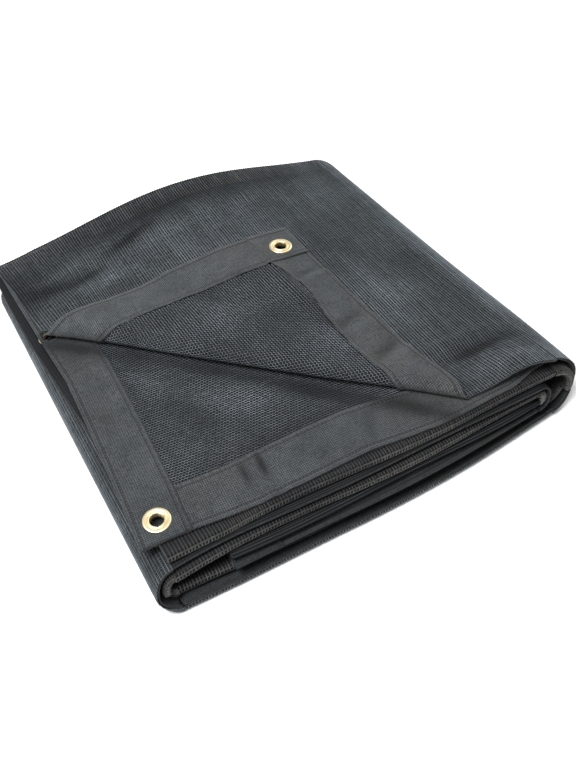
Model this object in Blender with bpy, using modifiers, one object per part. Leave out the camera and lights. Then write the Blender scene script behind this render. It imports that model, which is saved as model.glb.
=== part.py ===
"""A mesh tarp folded in half twice, rolled flat in four runs, with the corner of its top ply turned back.

The knitted cloth is one solid. Its width is folded into four plies, which lie one inside another along
the flat roll: plies 1 and 2 carry the tarp's two long edges at the front, plies 3 and 4 are joined there by
a fold, and ply 1 goes round the back into ply 4 and ply 2 into ply 3. A woven hem tape is sewn to the
cloth's back face along each of the four edges, and the tape of the free end holds four brass grommets.
Metres, +Z up, +X along the roll, +Y to the back, the bottom centre of the whole part on the origin.
"""

import math
from collections import namedtuple

import bmesh
import bpy
from mathutils import Matrix, Vector

MM = 0.001
ROUNDING = 1e-6

# Sheets
CLOTH = 1.2 * MM
TAPE = 1.2 * MM
TAPE_WIDTH = 50.8 * MM
SEWN_GAP = 0.4 * MM
PLY_DEPTH = 457 * MM  # a quarter of the tarp's width
TAPE_SHARE = TAPE_WIDTH / PLY_DEPTH

# Grommets: a flange on the cloth's front face, a barrel, and a washer over the tape
HOLE_RADIUS = 6.7 * MM
BARREL_RADIUS = 7.4 * MM
FLANGE_RADIUS = 13.5 * MM
SEAT_GAP = 0.3 * MM
FLANGE_THICKNESS = 0.9 * MM
FLANGE_BEVEL = 1.2 * MM
ROLLED_BARREL = 1.6 * MM  # the barrel's rolled end stands this high on the washer
ROLL_WIDTH = 1.9 * MM
HOLE_OVERRUN = 0.4 * MM
GROMMET_STEPS = 20

# A smooth change over a length, and a soft hill
Change = namedtuple("Change", "start length")
Hill = namedtuple("Hill", "middle half_width")

# One row for each straight run of the flat roll, from the free end inwards, in millimetres: where it starts
# and ends along the roll, the height of its ply 1 there, how far inside ply 1 the other plies lie, its facets
Run = namedtuple("Run", "name start end start_height end_height ply_2 ply_3 ply_4 facets")
RUNS = (
    Run("top", 0, 460, 68.4, 68.4, 5.0, 7.4, 15.0, 0),
    Run("bottom", 460, 16, 1.0, 1.0, 5.0, 7.4, 14.6, 8),
    Run("upper", 16, 440, 43.5, 48.4, 5.0, 7.4, 13.9, 8),
    Run("lower", 440, 72, 18.0, 18.0, 4.8, 6.9, 13.4, 0),
)
TURN_FACETS = (8, 7, 6)
RUN_LEVELS_OFF = 5  # a run reaches its end height in this part of its length

# Columns of the top run and of the lower run, in millimetres from the tarp's end that each of them holds
TOP_COLUMNS = (0, 25.4, 50.8, 88, 125, 162, 200, 238, 276, 314, 346, 370, 393, 415, 437, 460)
LOWER_COLUMNS = (368, 300, 230, 160, 105, 51.8, 50.8, 25.4, 0)

# The plies lie looser at the free end, and so does its line fade into the roll
FREE_END_PLY_3 = 8.6 * MM
FREE_END_PLY_4 = 16.2 * MM
FREE_END_FADE = Change(50.8 * MM, 69.2 * MM)

# Shares of a ply's depth at which it has a row of points, and the facets of the three folds
PLY_SHARES = (0.0, TAPE_SHARE, 0.28, 0.46, 0.64, 0.82, 1.0)
BACK_FOLD_FACETS = 5
FRONT_FOLD_FACETS = 5
INNER_FOLD_FACETS = 3

# The free end's line: how far each ply's edge stands off the roll's zero, at each depth, in millimetres
EndRow = namedtuple("EndRow", "depth ply_1 ply_2 folded_plies")
FREE_END = (
    EndRow(0, 18, -6, 15),
    EndRow(70, 11, 0, 12),
    EndRow(150, 8, 5, 8),
    EndRow(240, 11, 9, 1),
    EndRow(320, 12, 5, -4),
    EndRow(400, 5, 2, -6),
    EndRow(470, -3, 0, -4),
)

# Where the front edges and folds lie in the pack's depth: at the free end, along the roll, by the right turn
FrontLine = namedtuple("FrontLine", "at_end end_fades along at_turn turn_comes")
FRONT_PLY_1 = FrontLine(-6.5 * MM, 300 * MM, -1 * MM, 4 * MM, Change(310 * MM, 50 * MM))
FRONT_PLY_2 = FrontLine(11 * MM, 120 * MM, 6 * MM, 15 * MM, Change(400 * MM, 50 * MM))
FRONT_PLY_2_BULGE = 5 * MM
FRONT_PLY_2_BULGE_AT = Hill(310 * MM, 90 * MM)
FRONT_FOLD = 4 * MM
FOLD_BULGE = 1.05  # a fold's reach past its plies, to half of its height
INNER_BACK_FOLD = 9 * MM  # how far the back fold of plies 2 and 3 stays inside that of plies 1 and 4

# The outer ply's front edge turns up along the bottom run, in two creases
TURN_UP = math.radians(62)
TURN_UP_CREASES = (12 * MM, 5 * MM)
TURN_UP_ROOM = 8 * MM  # the plies inside it stay back by this much
TURN_UP_ROOM_COMES = 3  # sooner than the edge turns up by this much
TURN_UP_REACH = 5.5 * MM

# The front edges' slow waves: their height, and their phase for each metre, ply and leg of the roll
WAVE = 1.6 * MM
WAVE_PER_METRE, WAVE_PER_PLY, WAVE_PER_LEG = 23, 2.1, 1.7

# The pack's unevenness
PACK_HEIGHT = 69 * MM
HIGHEST_LEVEL = 1.25  # in pack heights
CROWN = 9 * MM
CROWN_ALONG = Hill(250 * MM, 300 * MM)
CROWN_ACROSS = Change(-20 * MM, 400 * MM)
SLANT = 33 * MM  # the pack's foot stands this much further out to the front than its top
BACK_SLANT_SHARE = 0.35
BACK_BOW = 40 * MM
BACK_BOW_ALONG = Hill(260 * MM, 270 * MM)
FOOT_BOW_SHARE = 0.35
RIGHT_TAPER = 20 * MM
RIGHT_PART = Change(270 * MM, 220 * MM)
RIGHT_BULGE = 4 * MM
RIGHT_BULGE_AT = Hill(0.1, 0.45)  # in shares of the depth
LEFT_TAPER = 3 * MM
LEFT_PART = Change(0, 100 * MM)
RIGHT_SETBACK = 25 * MM
RIGHT_SETBACK_AT = Change(200 * MM, 264 * MM)
RIGHT_SETBACK_POWER = 1.6
EDGE_DROOP = 3 * MM
LIFT = 16 * MM  # the front edge of ply 1 stands off the plies below it near the right turn
LIFT_ALONG = Hill(428 * MM, 62 * MM)
LIFT_FADES = Change(-10 * MM, 100 * MM)
LIFT_LOWEST = 30 * MM

# The corner of ply 1 that is turned back, about a line from the left edge to the front edge
FOLD_LEFT = Vector((12, 327)) * MM
FOLD_RIGHT = Vector((354, 4)) * MM
FOLD_LENGTH = (FOLD_RIGHT - FOLD_LEFT).length
FOLD_ALONG = (FOLD_RIGHT - FOLD_LEFT).normalized()
FOLD_PAST = Vector((FOLD_ALONG.y, -FOLD_ALONG.x))  # towards the corner
FOLD_RADIUS_LEFT = 12 * MM
FOLD_RADIUS_RIGHT = 5 * MM
FOLD_SPREAD = (-0.4, 1.2)  # shares of the line between which the radius goes on changing
FOLD_BOW = 5 * MM  # its middle lies this much further out than a straight line, and its right end further in
FOLD_BOW_ALONG = Hill(0.4, 0.4)
FOLD_END_SHIFT = 9 * MM
FOLD_END = Change(0.65, 0.35)
FOLD_BOW_REACH = Hill(0, 58 * MM)
FLAP_REST = 4.6 * MM
FLAP_SETTLES = 85 * MM
ROUND_LINES = (0.0, 0.25, 0.5, 0.75, 1.0)  # cuts across the round of the fold, in shares of it
FLAP_LINES = (-14 * MM, 24 * MM, 52 * MM, 85 * MM)  # cuts before the round and past it
ON_LINE = 0.8 * MM  # a point this near a cut is taken to lie on it

# The grommets of the free end's tape: the ply that each is on, how far it is in from the end and how deep in
# the pack it lies, in millimetres, and the side's tape that it clamps too
GrommetPlace = namedtuple("GrommetPlace", "name piece inset depth side_tape")

PLY_1, BACK_FOLD, PLY_4, FRONT_FOLD_PIECE, PLY_3, INNER_FOLD, PLY_2 = range(7)

GROMMETS = (
    GrommetPlace("grommet_turned_corner", PLY_1, 30, 19, "hem_tape_side_1"),
    GrommetPlace("grommet_front_corner", PLY_2, 25, 28, "hem_tape_side_2"),
    GrommetPlace("grommet_ply_3", PLY_3, 24, 318, None),
    GrommetPlace("grommet_ply_4", PLY_4, 25, 286, None),
)
FREE_END_COLUMNS = 2  # the free end's tape covers this many columns of faces
INNER_END_COLUMNS = 2
BETWEEN_TAPES = 1  # the column between the sides' tapes and the inner end's
STEEPEST_LEAN = 0.6

# --- Shaping helpers -------------------------------------------------------------------------------------


def smooth(value):
    """0 to 1 with level ends."""
    value = min(1.0, max(0.0, value))
    return value * value * (3 - 2 * value)


def mix(start, end, share):
    return start + (end - start) * share


def changed(value, change):
    """How far a change has come at a value, 0 to 1."""
    return smooth((value - change.start) / change.length)


def hump(value, hill):
    """A soft hill 1 high."""
    away = abs(value - hill.middle) / hill.half_width
    return math.cos(away * math.pi / 2) ** 2 if away < 1 else 0.0


# --- The section of the flat roll ------------------------------------------------------------------------

# A column of the sheet: the leg of the roll it is on (runs are even, turns odd), the place of its ply 1, the
# way into the roll, and how far inside ply 1 each ply lies
Station = namedtuple("Station", "leg x z inward_x inward_z plies")


def run_station(leg, share):
    """A column on a straight run, at a share of its length."""
    run = RUNS[leg // 2]
    x = mix(run.start, run.end, share) * MM
    z = mix(run.start_height, run.end_height, 1 - (1 - min(1.0, share * RUN_LEVELS_OFF)) ** 2) * MM
    inward = -1 if leg % 4 == 0 else 1
    plies = (0.0, run.ply_2 * MM, run.ply_3 * MM, run.ply_4 * MM)
    if leg == 0:
        end = 1 - changed(x, FREE_END_FADE)
        plies = (0.0, plies[1], mix(plies[2], FREE_END_PLY_3, end), mix(plies[3], FREE_END_PLY_4, end))
    return Station(leg, x, z, 0.0, inward, plies)


def turn_station(leg, share):
    """A column on the half-round turn between two runs."""
    before, after = run_station(leg - 1, 1), run_station(leg + 1, 0)
    middle, radius = (before.z + after.z) / 2, (before.z - after.z) / 2
    angle = math.pi * share
    side = 1 if leg % 4 == 1 else -1
    out_x, out_z = side * math.sin(angle), math.copysign(1, radius) * math.cos(angle)
    plies = tuple(mix(a, b, smooth(share)) for a, b in zip(before.plies, after.plies))
    return Station(leg, before.x + abs(radius) * out_x, middle + abs(radius) * out_z, -out_x, -out_z, plies)


def roll_stations():
    """The columns of the sheet, one station each, along the four runs and the three turns between them."""
    stations = [run_station(0, column / RUNS[0].end) for column in TOP_COLUMNS]
    for leg in range(1, 2 * len(RUNS) - 2):
        if leg % 2:
            facets = TURN_FACETS[leg // 2]
            stations += [turn_station(leg, i / facets) for i in range(1, facets)]
        else:
            facets = RUNS[leg // 2].facets
            stations += [run_station(leg, i / facets) for i in range(facets + 1)]
    last_run = RUNS[-1]
    length = last_run.start - last_run.end
    stations += [run_station(2 * len(RUNS) - 2, 1 - column / length) for column in LOWER_COLUMNS]
    return stations


# --- The fold across the roll: four plies ----------------------------------------------------------------

Row = namedtuple("Row", "piece share")


def ply_rows(piece, shares):
    return [Row(piece, share) for share in shares]


def fold_rows(piece, facets):
    return [Row(piece, i / facets) for i in range(1, facets)]


def sheet_rows():
    """The rows of the sheet across its width: along each ply by share of depth, and round each fold."""
    creases = tuple(crease / PLY_DEPTH for crease in TURN_UP_CREASES)
    rows = ply_rows(PLY_1, sorted(PLY_SHARES + creases))
    rows += fold_rows(BACK_FOLD, BACK_FOLD_FACETS) + ply_rows(PLY_4, reversed(PLY_SHARES))
    rows += fold_rows(FRONT_FOLD_PIECE, FRONT_FOLD_FACETS) + ply_rows(PLY_3, PLY_SHARES)
    rows += fold_rows(INNER_FOLD, INNER_FOLD_FACETS) + ply_rows(PLY_2, reversed(PLY_SHARES))
    return rows


def turned_up(station):
    """How far the front edge of ply 1 is turned up, 0 to 1: all along the bottom run and on its turns."""
    if station.leg == 2:
        return 1.0
    lower_half = station.z < RUNS[2].start_height * MM / 2
    return smooth(abs(station.inward_z)) if station.leg in (1, 3) and lower_half else 0.0


def front_line(line, station):
    """Where a free front edge lies."""
    front = line.along
    if station.leg < 2:
        front = mix(line.at_end, front, smooth(station.x / line.end_fades))
        front = mix(front, line.at_turn, changed(station.x, line.turn_comes) * (1 - turned_up(station)))
    return front


def front_of(ply, station):
    """Where the front edge or fold of a ply lies: 0 is ply 1."""
    turn = turned_up(station)
    phase = station.x * WAVE_PER_METRE + min(ply, 2) * WAVE_PER_PLY + station.leg * WAVE_PER_LEG
    wave = WAVE * math.sin(phase)
    if ply == 0:
        return front_line(FRONT_PLY_1, station) - turn * TURN_UP_REACH + wave / 2
    room = TURN_UP_ROOM * smooth(turn * TURN_UP_ROOM_COMES)
    if ply == 1:
        bulge = FRONT_PLY_2_BULGE * hump(station.x, FRONT_PLY_2_BULGE_AT) if station.leg < 2 else 0
        return front_line(FRONT_PLY_2, station) - bulge + room + wave
    return FRONT_FOLD + room + wave


def back_of(ply):
    return PLY_DEPTH - (INNER_BACK_FOLD if ply in (1, 2) else 0)


def fold_arc(middle_y, way, inset_a, inset_b, share):
    """A half-round fold from one ply's inset to another's, to the back (1) or to the front (-1)."""
    angle = math.pi * share
    half = (inset_b - inset_a) / 2
    reach = way * FOLD_BULGE * abs(half)
    return middle_y + reach * math.sin(angle), inset_a + half - half * math.cos(angle)


def ply_1_profile(station, share):
    """Ply 1, with its front edge turned up in two creases."""
    front = front_of(0, station)
    crease, second = TURN_UP_CREASES
    angle = TURN_UP * turned_up(station)
    away = share * (back_of(0) - front)
    if away >= crease or not angle:
        return front + away, 0.0
    first_leg = min(crease - away, crease - second)
    second_leg = max(0.0, second - away)
    y = front + crease - first_leg * math.cos(angle / 2) - second_leg * math.cos(angle)
    return y, first_leg * math.sin(angle / 2) + second_leg * math.sin(angle)


def profile(station, row):
    """The depth of a row's point and how far inside ply 1 it lies."""
    ply_1, ply_2, ply_3, ply_4 = station.plies
    if row.piece == PLY_1:
        return ply_1_profile(station, row.share)
    if row.piece == BACK_FOLD:
        return fold_arc(back_of(0), 1, ply_1, ply_4, row.share)
    if row.piece == FRONT_FOLD_PIECE:
        return fold_arc(front_of(2, station), -1, ply_4, ply_3, row.share)
    if row.piece == INNER_FOLD:
        return fold_arc(back_of(1), 1, ply_3, ply_2, row.share)
    ply = {PLY_4: 3, PLY_3: 2, PLY_2: 1}[row.piece]
    return mix(front_of(ply, station), back_of(ply), row.share), station.plies[ply]


def end_line(piece, depth):
    """How far the free end of a ply or fold stands off the roll's zero."""
    column = "ply_1" if piece == PLY_1 else "ply_2" if piece in (PLY_2, INNER_FOLD) else "folded_plies"
    depth = depth / MM
    for before, after in zip(FREE_END, FREE_END[1:]):
        if depth <= after.depth:
            share = max(0.0, (depth - before.depth) / (after.depth - before.depth))
            return mix(getattr(before, column), getattr(after, column), share) * MM
    return getattr(FREE_END[-1], column) * MM


def place_in_pack(station, row):
    """The point of a column and a row in the even pack, before the corner is turned back."""
    y, inset = profile(station, row)
    x = station.x + station.inward_x * inset
    z = station.z + station.inward_z * inset
    if station.leg == 0:
        x += end_line(row.piece, y) * (1 - changed(station.x, FREE_END_FADE))
        if row.piece != PLY_1:
            z -= droop(x, y)
    return Vector((x, y, z))


# --- The turned corner and the pack's unevenness ---------------------------------------------------------


def droop(x, y):
    """The top run's edges hang a little at the left and at the front."""
    left = max(0.0, 1 - x / TAPE_WIDTH)
    front = max(0.0, 1 - y / TAPE_WIDTH)
    return EDGE_DROOP * (left + front)


def fold_frame(x, y):
    """Share of the corner's fold line, distance past it towards the corner, and the fold's radius there."""
    point = Vector((x, y)) - FOLD_LEFT
    share, distance = point.dot(FOLD_ALONG) / FOLD_LENGTH, point.dot(FOLD_PAST)
    lowest, highest = FOLD_SPREAD
    radius = mix(FOLD_RADIUS_LEFT, FOLD_RADIUS_RIGHT, min(highest, max(lowest, share)))
    return share, distance, radius


def beside_the_fold(share, reach):
    """A point by its share of the fold line and its reach past it, with the line bowed."""
    bow = FOLD_BOW * hump(share, FOLD_BOW_ALONG) - FOLD_END_SHIFT * changed(share, FOLD_END)
    reach += bow * hump(reach, FOLD_BOW_REACH)
    return FOLD_LEFT + FOLD_ALONG * share * FOLD_LENGTH + FOLD_PAST * reach


def turn_corner_back(x, y):
    """Rolls the corner of ply 1 over its fold line: the new place, and the height above the ply."""
    share, distance, radius = fold_frame(x, y)
    if distance <= 0:
        return *beside_the_fold(share, distance), 0.0
    if distance < math.pi * radius:
        reach = radius * math.sin(distance / radius)
        height = radius * (1 - math.cos(distance / radius))
    else:
        reach = math.pi * radius - distance
        height = mix(2 * radius, FLAP_REST, smooth(-reach / FLAP_SETTLES))
    return *beside_the_fold(share, reach), height


def lift_of(x, y):
    """The front edge of ply 1 stands off before it goes round the right turn."""
    return LIFT * hump(x, LIFT_ALONG) * (1 - changed(y, LIFT_FADES))


def level_of(z):
    """Height in the pack: 0 at its foot, 1 at its top."""
    return min(HIGHEST_LEVEL, max(0.0, (z - RUNS[1].start_height * MM) / PACK_HEIGHT))


def uneven(point, band_height):
    """The whole pack's warp: its crown, the slant of its front, the bow of its back and its taper.

    Plies 3 and 4 slant as one band, by the height of its middle, so that the fold between them stays round.
    """
    x, y, z = point
    level, deep = level_of(z), y / PLY_DEPTH
    within = min(1.0, max(0.0, deep))
    crown = CROWN * hump(x, CROWN_ALONG) * changed(y, CROWN_ACROSS) * level
    bow = BACK_BOW * hump(x, BACK_BOW_ALONG) * max(0.0, deep) ** 2 * mix(FOOT_BOW_SHARE, 1, level)
    slant = SLANT * (1 - level_of(mix(band_height, z, smooth(deep)))) * mix(1, BACK_SLANT_SHARE, within)
    to_the_right = max(0.0, (x - RIGHT_SETBACK_AT.start) / RIGHT_SETBACK_AT.length)
    setback = RIGHT_SETBACK * to_the_right ** RIGHT_SETBACK_POWER * (1 - level) * (1 - smooth(deep))
    right, left = changed(x, RIGHT_PART), 1 - changed(x, LEFT_PART)
    taper = (LEFT_TAPER * left - RIGHT_TAPER * right) * max(0.0, deep)
    bulge = RIGHT_BULGE * right * hump(deep, RIGHT_BULGE_AT)
    return Vector((x + taper + bulge, y + bow - slant + setback, z + crown))


def place_folded(station, row):
    """A point of the sheet away from the turned corner, in the uneven pack."""
    point = place_in_pack(station, row)
    folded = row.piece in (PLY_4, FRONT_FOLD_PIECE, PLY_3)
    band = (station.plies[2] + station.plies[3]) / 2
    place = uneven(point, station.z + station.inward_z * band if folded else point.z)
    if row.piece == PLY_1 and station.leg == 1 and station.z > LIFT_LOWEST:
        place.z += lift_of(*point.xy) * abs(station.inward_z)
    return place


def place_ply_1(x, y):
    """Ply 1 on the top run, whose corner is turned back."""
    turned_x, turned_y, height = turn_corner_back(x, y)
    z = RUNS[0].start_height * MM - droop(turned_x, turned_y) + lift_of(turned_x, turned_y)
    place = uneven((turned_x, turned_y, z), z)
    return place + Vector((0, 0, height))


# --- The sheet -------------------------------------------------------------------------------------------


def cut_corner_lines(bm, faces):
    """Cuts the corner's faces along its fold, so that they can go round it."""
    round_lines = [(math.pi * share, 0.0) for share in ROUND_LINES]
    laid_lines = [(math.pi if extra > 0 else 0.0, extra) for extra in FLAP_LINES]
    for turns, extra in round_lines + laid_lines:
        start = FOLD_LEFT + FOLD_PAST * (turns * FOLD_RADIUS_LEFT + extra)
        end = FOLD_RIGHT + FOLD_PAST * (turns * FOLD_RADIUS_RIGHT + extra)
        across = (end - start).normalized()
        geometry = {face for face in faces if face.is_valid}
        for face in list(geometry):
            geometry.update(face.edges)
            geometry.update(face.verts)
        cut = bmesh.ops.bisect_plane(
            bm, geom=list(geometry), dist=ON_LINE,
            plane_co=(start.x, start.y, 0), plane_no=(across.y, -across.x, 0),
        )
        faces |= {item for item in cut["geom"] if isinstance(item, bmesh.types.BMFace)}


def build_sheet():
    """The cloth's middle surface, with each face's row and column kept in two layers.

    The top run of ply 1 is laid flat at first, is cut along the corner's fold, and then goes to its place.
    """
    stations, rows = roll_stations(), sheet_rows()
    bm = bmesh.new()
    row_layer = bm.faces.layers.int.new("row")
    column_layer = bm.faces.layers.int.new("column")
    on_top = set()
    grid = []
    for row in rows:
        line = []
        for station in stations:
            if row.piece == PLY_1 and station.leg == 0:
                vertex = bm.verts.new((*place_in_pack(station, row).xy, 0))
                on_top.add(vertex)
            else:
                vertex = bm.verts.new(place_folded(station, row))
            line.append(vertex)
        grid.append(line)
    corner = set()
    for r in range(len(rows) - 1):
        for c in range(len(stations) - 1):
            face = bm.faces.new((grid[r][c], grid[r][c + 1], grid[r + 1][c + 1], grid[r + 1][c]))
            face[row_layer], face[column_layer] = r, c
            if on_top.issuperset(face.verts):
                corner.add(face)
    cut_corner_lines(bm, corner)
    for vertex in {vertex for face in corner if face.is_valid for vertex in face.verts}:
        vertex.co = place_ply_1(vertex.co.x, vertex.co.y)
    bmesh.ops.triangulate(bm, faces=bm.faces[:])
    bm.normal_update()
    return bm, rows, stations


def off_the_cloth(vertex, distance):
    """A point at an even distance from the faces round a vertex, on the cloth's back face."""
    normal = vertex.normal
    leans = [normal.dot(face.normal) for face in vertex.link_faces]
    return vertex.co - normal * distance / max(STEEPEST_LEAN, sum(leans) / len(leans))


def tape_surface(bm, keep, distance):
    """A hem tape's middle surface: a strip of the sheet's own faces, moved off the cloth."""
    strip = bmesh.new()
    made = {}
    for face in bm.faces:
        if not keep(face):
            continue
        corners = []
        for vertex in face.verts:
            if vertex not in made:
                made[vertex] = strip.verts.new(off_the_cloth(vertex, distance(vertex)))
            corners.append(made[vertex])
        strip.faces.new(corners)
    return strip


# --- Objects ---------------------------------------------------------------------------------------------


def make_material(name, colour, roughness, metallic):
    material = bpy.data.materials.new(name)
    material.use_nodes = True
    shader = material.node_tree.nodes["Principled BSDF"]
    shader.inputs["Base Color"].default_value = (*colour, 1)
    shader.inputs["Roughness"].default_value = roughness
    shader.inputs["Metallic"].default_value = metallic
    return material


def make_object(name, bm, material, collection, root):
    mesh = bpy.data.meshes.new(name)
    bm.to_mesh(mesh)
    bm.free()
    if material:
        mesh.materials.append(material)
    made = bpy.data.objects.new(name, mesh)
    made.parent = root
    collection.objects.link(made)
    return made


def thicken(sheet, thickness):
    solidify = sheet.modifiers.new("thickness", "SOLIDIFY")
    solidify.thickness = thickness
    solidify.offset = 0
    solidify.use_even_offset = True


def punch(sheet, cutter):
    hole = sheet.modifiers.new(cutter.name, "BOOLEAN")
    hole.operation = "DIFFERENCE"
    hole.solver = "EXACT"
    hole.object = cutter


def sandwich(side_tape):
    """The lowest and highest faces that a grommet clamps, from the cloth's middle: cloth and tapes."""
    tapes = 2 if side_tape else 1
    return -CLOTH / 2, CLOTH / 2 + tapes * (SEWN_GAP + TAPE)


def grommet_section(side_tape):
    """The closed half section, as radius and height pairs: washer, rolled barrel, bore and flange."""
    lowest, highest = sandwich(side_tape)
    under, over = lowest - SEAT_GAP, highest + SEAT_GAP
    edge = FLANGE_THICKNESS / 2
    washer = (
        (BARREL_RADIUS, over),
        (FLANGE_RADIUS - edge, over),
        (FLANGE_RADIUS, over + edge),
        (FLANGE_RADIUS - FLANGE_BEVEL, over + FLANGE_THICKNESS),
        (BARREL_RADIUS + ROLL_WIDTH, over + FLANGE_THICKNESS),
        (BARREL_RADIUS + ROLL_WIDTH / 2, over + ROLLED_BARREL),
        (BARREL_RADIUS, over + ROLLED_BARREL),
    )
    flange = (
        (HOLE_RADIUS, over + FLANGE_THICKNESS),
        (HOLE_RADIUS, under - edge),
        (BARREL_RADIUS, under - FLANGE_THICKNESS),
        (FLANGE_RADIUS - FLANGE_BEVEL, under - FLANGE_THICKNESS),
        (FLANGE_RADIUS, under - edge),
        (FLANGE_RADIUS - edge, under),
        (BARREL_RADIUS, under),
    )
    return washer + flange


def make_grommet(place, frame, material, collection, root):
    bm = bmesh.new()
    loop = [bm.verts.new((radius, 0, height)) for radius, height in grommet_section(place.side_tape)]
    for a, b in zip(loop, loop[1:] + loop[:1]):
        bm.edges.new((a, b))
    grommet = make_object(place.name, bm, material, collection, root)
    grommet.matrix_world = frame
    turning = grommet.modifiers.new("turning", "SCREW")
    turning.steps = turning.render_steps = GROMMET_STEPS
    turning.use_merge_vertices = True
    turning.merge_threshold = 0.00001
    turning.use_normal_calculate = True


def make_cutter(place, frame, collection, root):
    """A plug for the hole that a grommet's barrel goes through."""
    lowest, highest = sandwich(place.side_tape)
    bm = bmesh.new()
    bmesh.ops.create_cone(
        bm, cap_ends=True, segments=GROMMET_STEPS, radius1=BARREL_RADIUS + SEAT_GAP,
        radius2=BARREL_RADIUS + SEAT_GAP, depth=highest - lowest + 2 * HOLE_OVERRUN,
        matrix=Matrix.Translation((0, 0, (lowest + highest) / 2)),
    )
    cutter = make_object("hole_" + place.name, bm, None, collection, root)
    cutter.matrix_world = frame
    cutter.hide_render = True
    cutter.display_type = "WIRE"
    return cutter


def grommet_frame(bm, rows, place):
    """A frame on the sheet at a grommet, whose Z points off the cloth's back face."""
    row_layer, column_layer = bm.faces.layers.int["row"], bm.faces.layers.int["column"]
    depth = place.depth * MM
    middle = Vector((end_line(place.piece, depth) + place.inset * MM, depth))
    if place.piece == PLY_1:
        middle = place_ply_1(*middle).xy
    on_tape = [face for face in bm.faces
               if face[column_layer] <= FREE_END_COLUMNS and rows[face[row_layer]].piece == place.piece]
    away = {face: (face.calc_center_median().xy - middle).length for face in on_tape}
    anchor = min(on_tape, key=away.get)
    near = [face for face in on_tape if away[face] < FLANGE_RADIUS * 2] or [anchor]
    normal = -sum((face.normal * face.calc_area() for face in near), Vector()).normalized()
    corner = anchor.verts[0].co
    drop = anchor.normal.xy.dot(middle - corner.xy)
    height = corner.z - drop / anchor.normal.z
    rotation = Vector((0, 0, 1)).rotation_difference(normal).to_matrix().to_4x4()
    return Matrix.Translation((*middle, height)) @ rotation


def tape_strips(bm, rows, last_column):
    """Which faces each tape covers, and how far its middle lies off the cloth at each vertex."""
    row_layer, column_layer = bm.faces.layers.int["row"], bm.faces.layers.int["column"]
    off = CLOTH / 2 + SEWN_GAP + TAPE / 2
    inner_end = last_column - INNER_END_COLUMNS

    def on_side(face, piece, outer_row):
        row = rows[face[row_layer] + outer_row]
        on_edge = row.piece == piece and row.share < TAPE_SHARE - ROUNDING
        return on_edge and face[column_layer] < inner_end - BETWEEN_TAPES

    def on_side_1(face):
        return on_side(face, PLY_1, 0)

    def on_side_2(face):
        return on_side(face, PLY_2, 1)

    doubled = {vertex for face in bm.faces if on_side_1(face) or on_side_2(face) for vertex in face.verts}
    return {
        "hem_tape_side_1": (on_side_1, lambda vertex: off),
        "hem_tape_side_2": (on_side_2, lambda vertex: off),
        "hem_tape_free_end": (
            lambda face: face[column_layer] < FREE_END_COLUMNS,
            lambda vertex: off + (SEWN_GAP + TAPE if vertex in doubled else 0),
        ),
        "hem_tape_inner_end": (lambda face: face[column_layer] >= inner_end, lambda vertex: off),
    }


def stand_on_origin(root, collection):
    """Moves the root so that the bottom centre of the whole part lies on the origin."""
    graph = bpy.context.evaluated_depsgraph_get()
    points = []
    for item in collection.objects:
        if item.type == "MESH":
            made = item.evaluated_get(graph)
            points += [made.matrix_world @ vertex.co for vertex in made.data.vertices]
    lowest = [min(point[axis] for point in points) for axis in range(3)]
    highest = [max(point[axis] for point in points) for axis in range(3)]
    root.location = (-(lowest[0] + highest[0]) / 2, -(lowest[1] + highest[1]) / 2, -lowest[2])


def main():
    for item in list(bpy.data.objects):
        bpy.data.objects.remove(item, do_unlink=True)
    collection = bpy.data.collections.new("mesh_tarp")
    cutters = bpy.data.collections.new("cutters")
    bpy.context.scene.collection.children.link(collection)
    bpy.context.scene.collection.children.link(cutters)
    root = bpy.data.objects.new("mesh_tarp_root", None)
    collection.objects.link(root)

    mesh_cloth = make_material("mesh_cloth", (0.035, 0.040, 0.047), 0.75, 0.0)
    tape_cloth = make_material("hem_tape", (0.060, 0.063, 0.070), 0.8, 0.0)
    brass = make_material("brass", (0.80, 0.62, 0.28), 0.25, 1.0)

    bm, rows, stations = build_sheet()
    frames = {place: grommet_frame(bm, rows, place) for place in GROMMETS}
    sheets = {}
    for name, (keep, distance) in tape_strips(bm, rows, len(stations) - 1).items():
        sheets[name] = make_object(name, tape_surface(bm, keep, distance), tape_cloth, collection, root)
        thicken(sheets[name], TAPE)
    sheets["mesh_sheet"] = make_object("mesh_sheet", bm, mesh_cloth, collection, root)
    thicken(sheets["mesh_sheet"], CLOTH)

    for place, frame in frames.items():
        make_grommet(place, frame, brass, collection, root)
        cutter = make_cutter(place, frame, cutters, root)
        for name in ("mesh_sheet", "hem_tape_free_end", place.side_tape):
            if name:
                punch(sheets[name], cutter)
    stand_on_origin(root, collection)


main()
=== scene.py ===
"""The looks of a folded mesh tarp: knitted cloth and its threads, woven hem tape, stitches and brass eyelets.

The cloth follows the same flat roll and folds as its solid, in finer steps and with its creases. Lengths are
in metres where MM stands, and in millimetres in the tables. Roll coordinates: x along the roll from the free
end, y from the front edges to the back.
"""

import math
from collections import namedtuple

import bpy
import numpy as np
from mathutils import Matrix, Vector


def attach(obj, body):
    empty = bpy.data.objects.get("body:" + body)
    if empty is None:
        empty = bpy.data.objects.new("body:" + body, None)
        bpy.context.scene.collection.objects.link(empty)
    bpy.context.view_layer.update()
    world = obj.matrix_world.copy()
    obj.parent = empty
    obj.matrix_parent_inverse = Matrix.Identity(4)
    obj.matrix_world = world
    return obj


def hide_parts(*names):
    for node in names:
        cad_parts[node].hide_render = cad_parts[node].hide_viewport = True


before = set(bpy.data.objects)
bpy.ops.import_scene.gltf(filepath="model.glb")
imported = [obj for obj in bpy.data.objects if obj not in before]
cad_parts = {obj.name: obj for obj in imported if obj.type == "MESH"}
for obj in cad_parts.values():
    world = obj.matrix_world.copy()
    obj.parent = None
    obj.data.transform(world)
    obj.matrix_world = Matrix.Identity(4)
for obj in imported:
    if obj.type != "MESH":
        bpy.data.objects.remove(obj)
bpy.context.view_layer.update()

MM = 0.001
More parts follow.
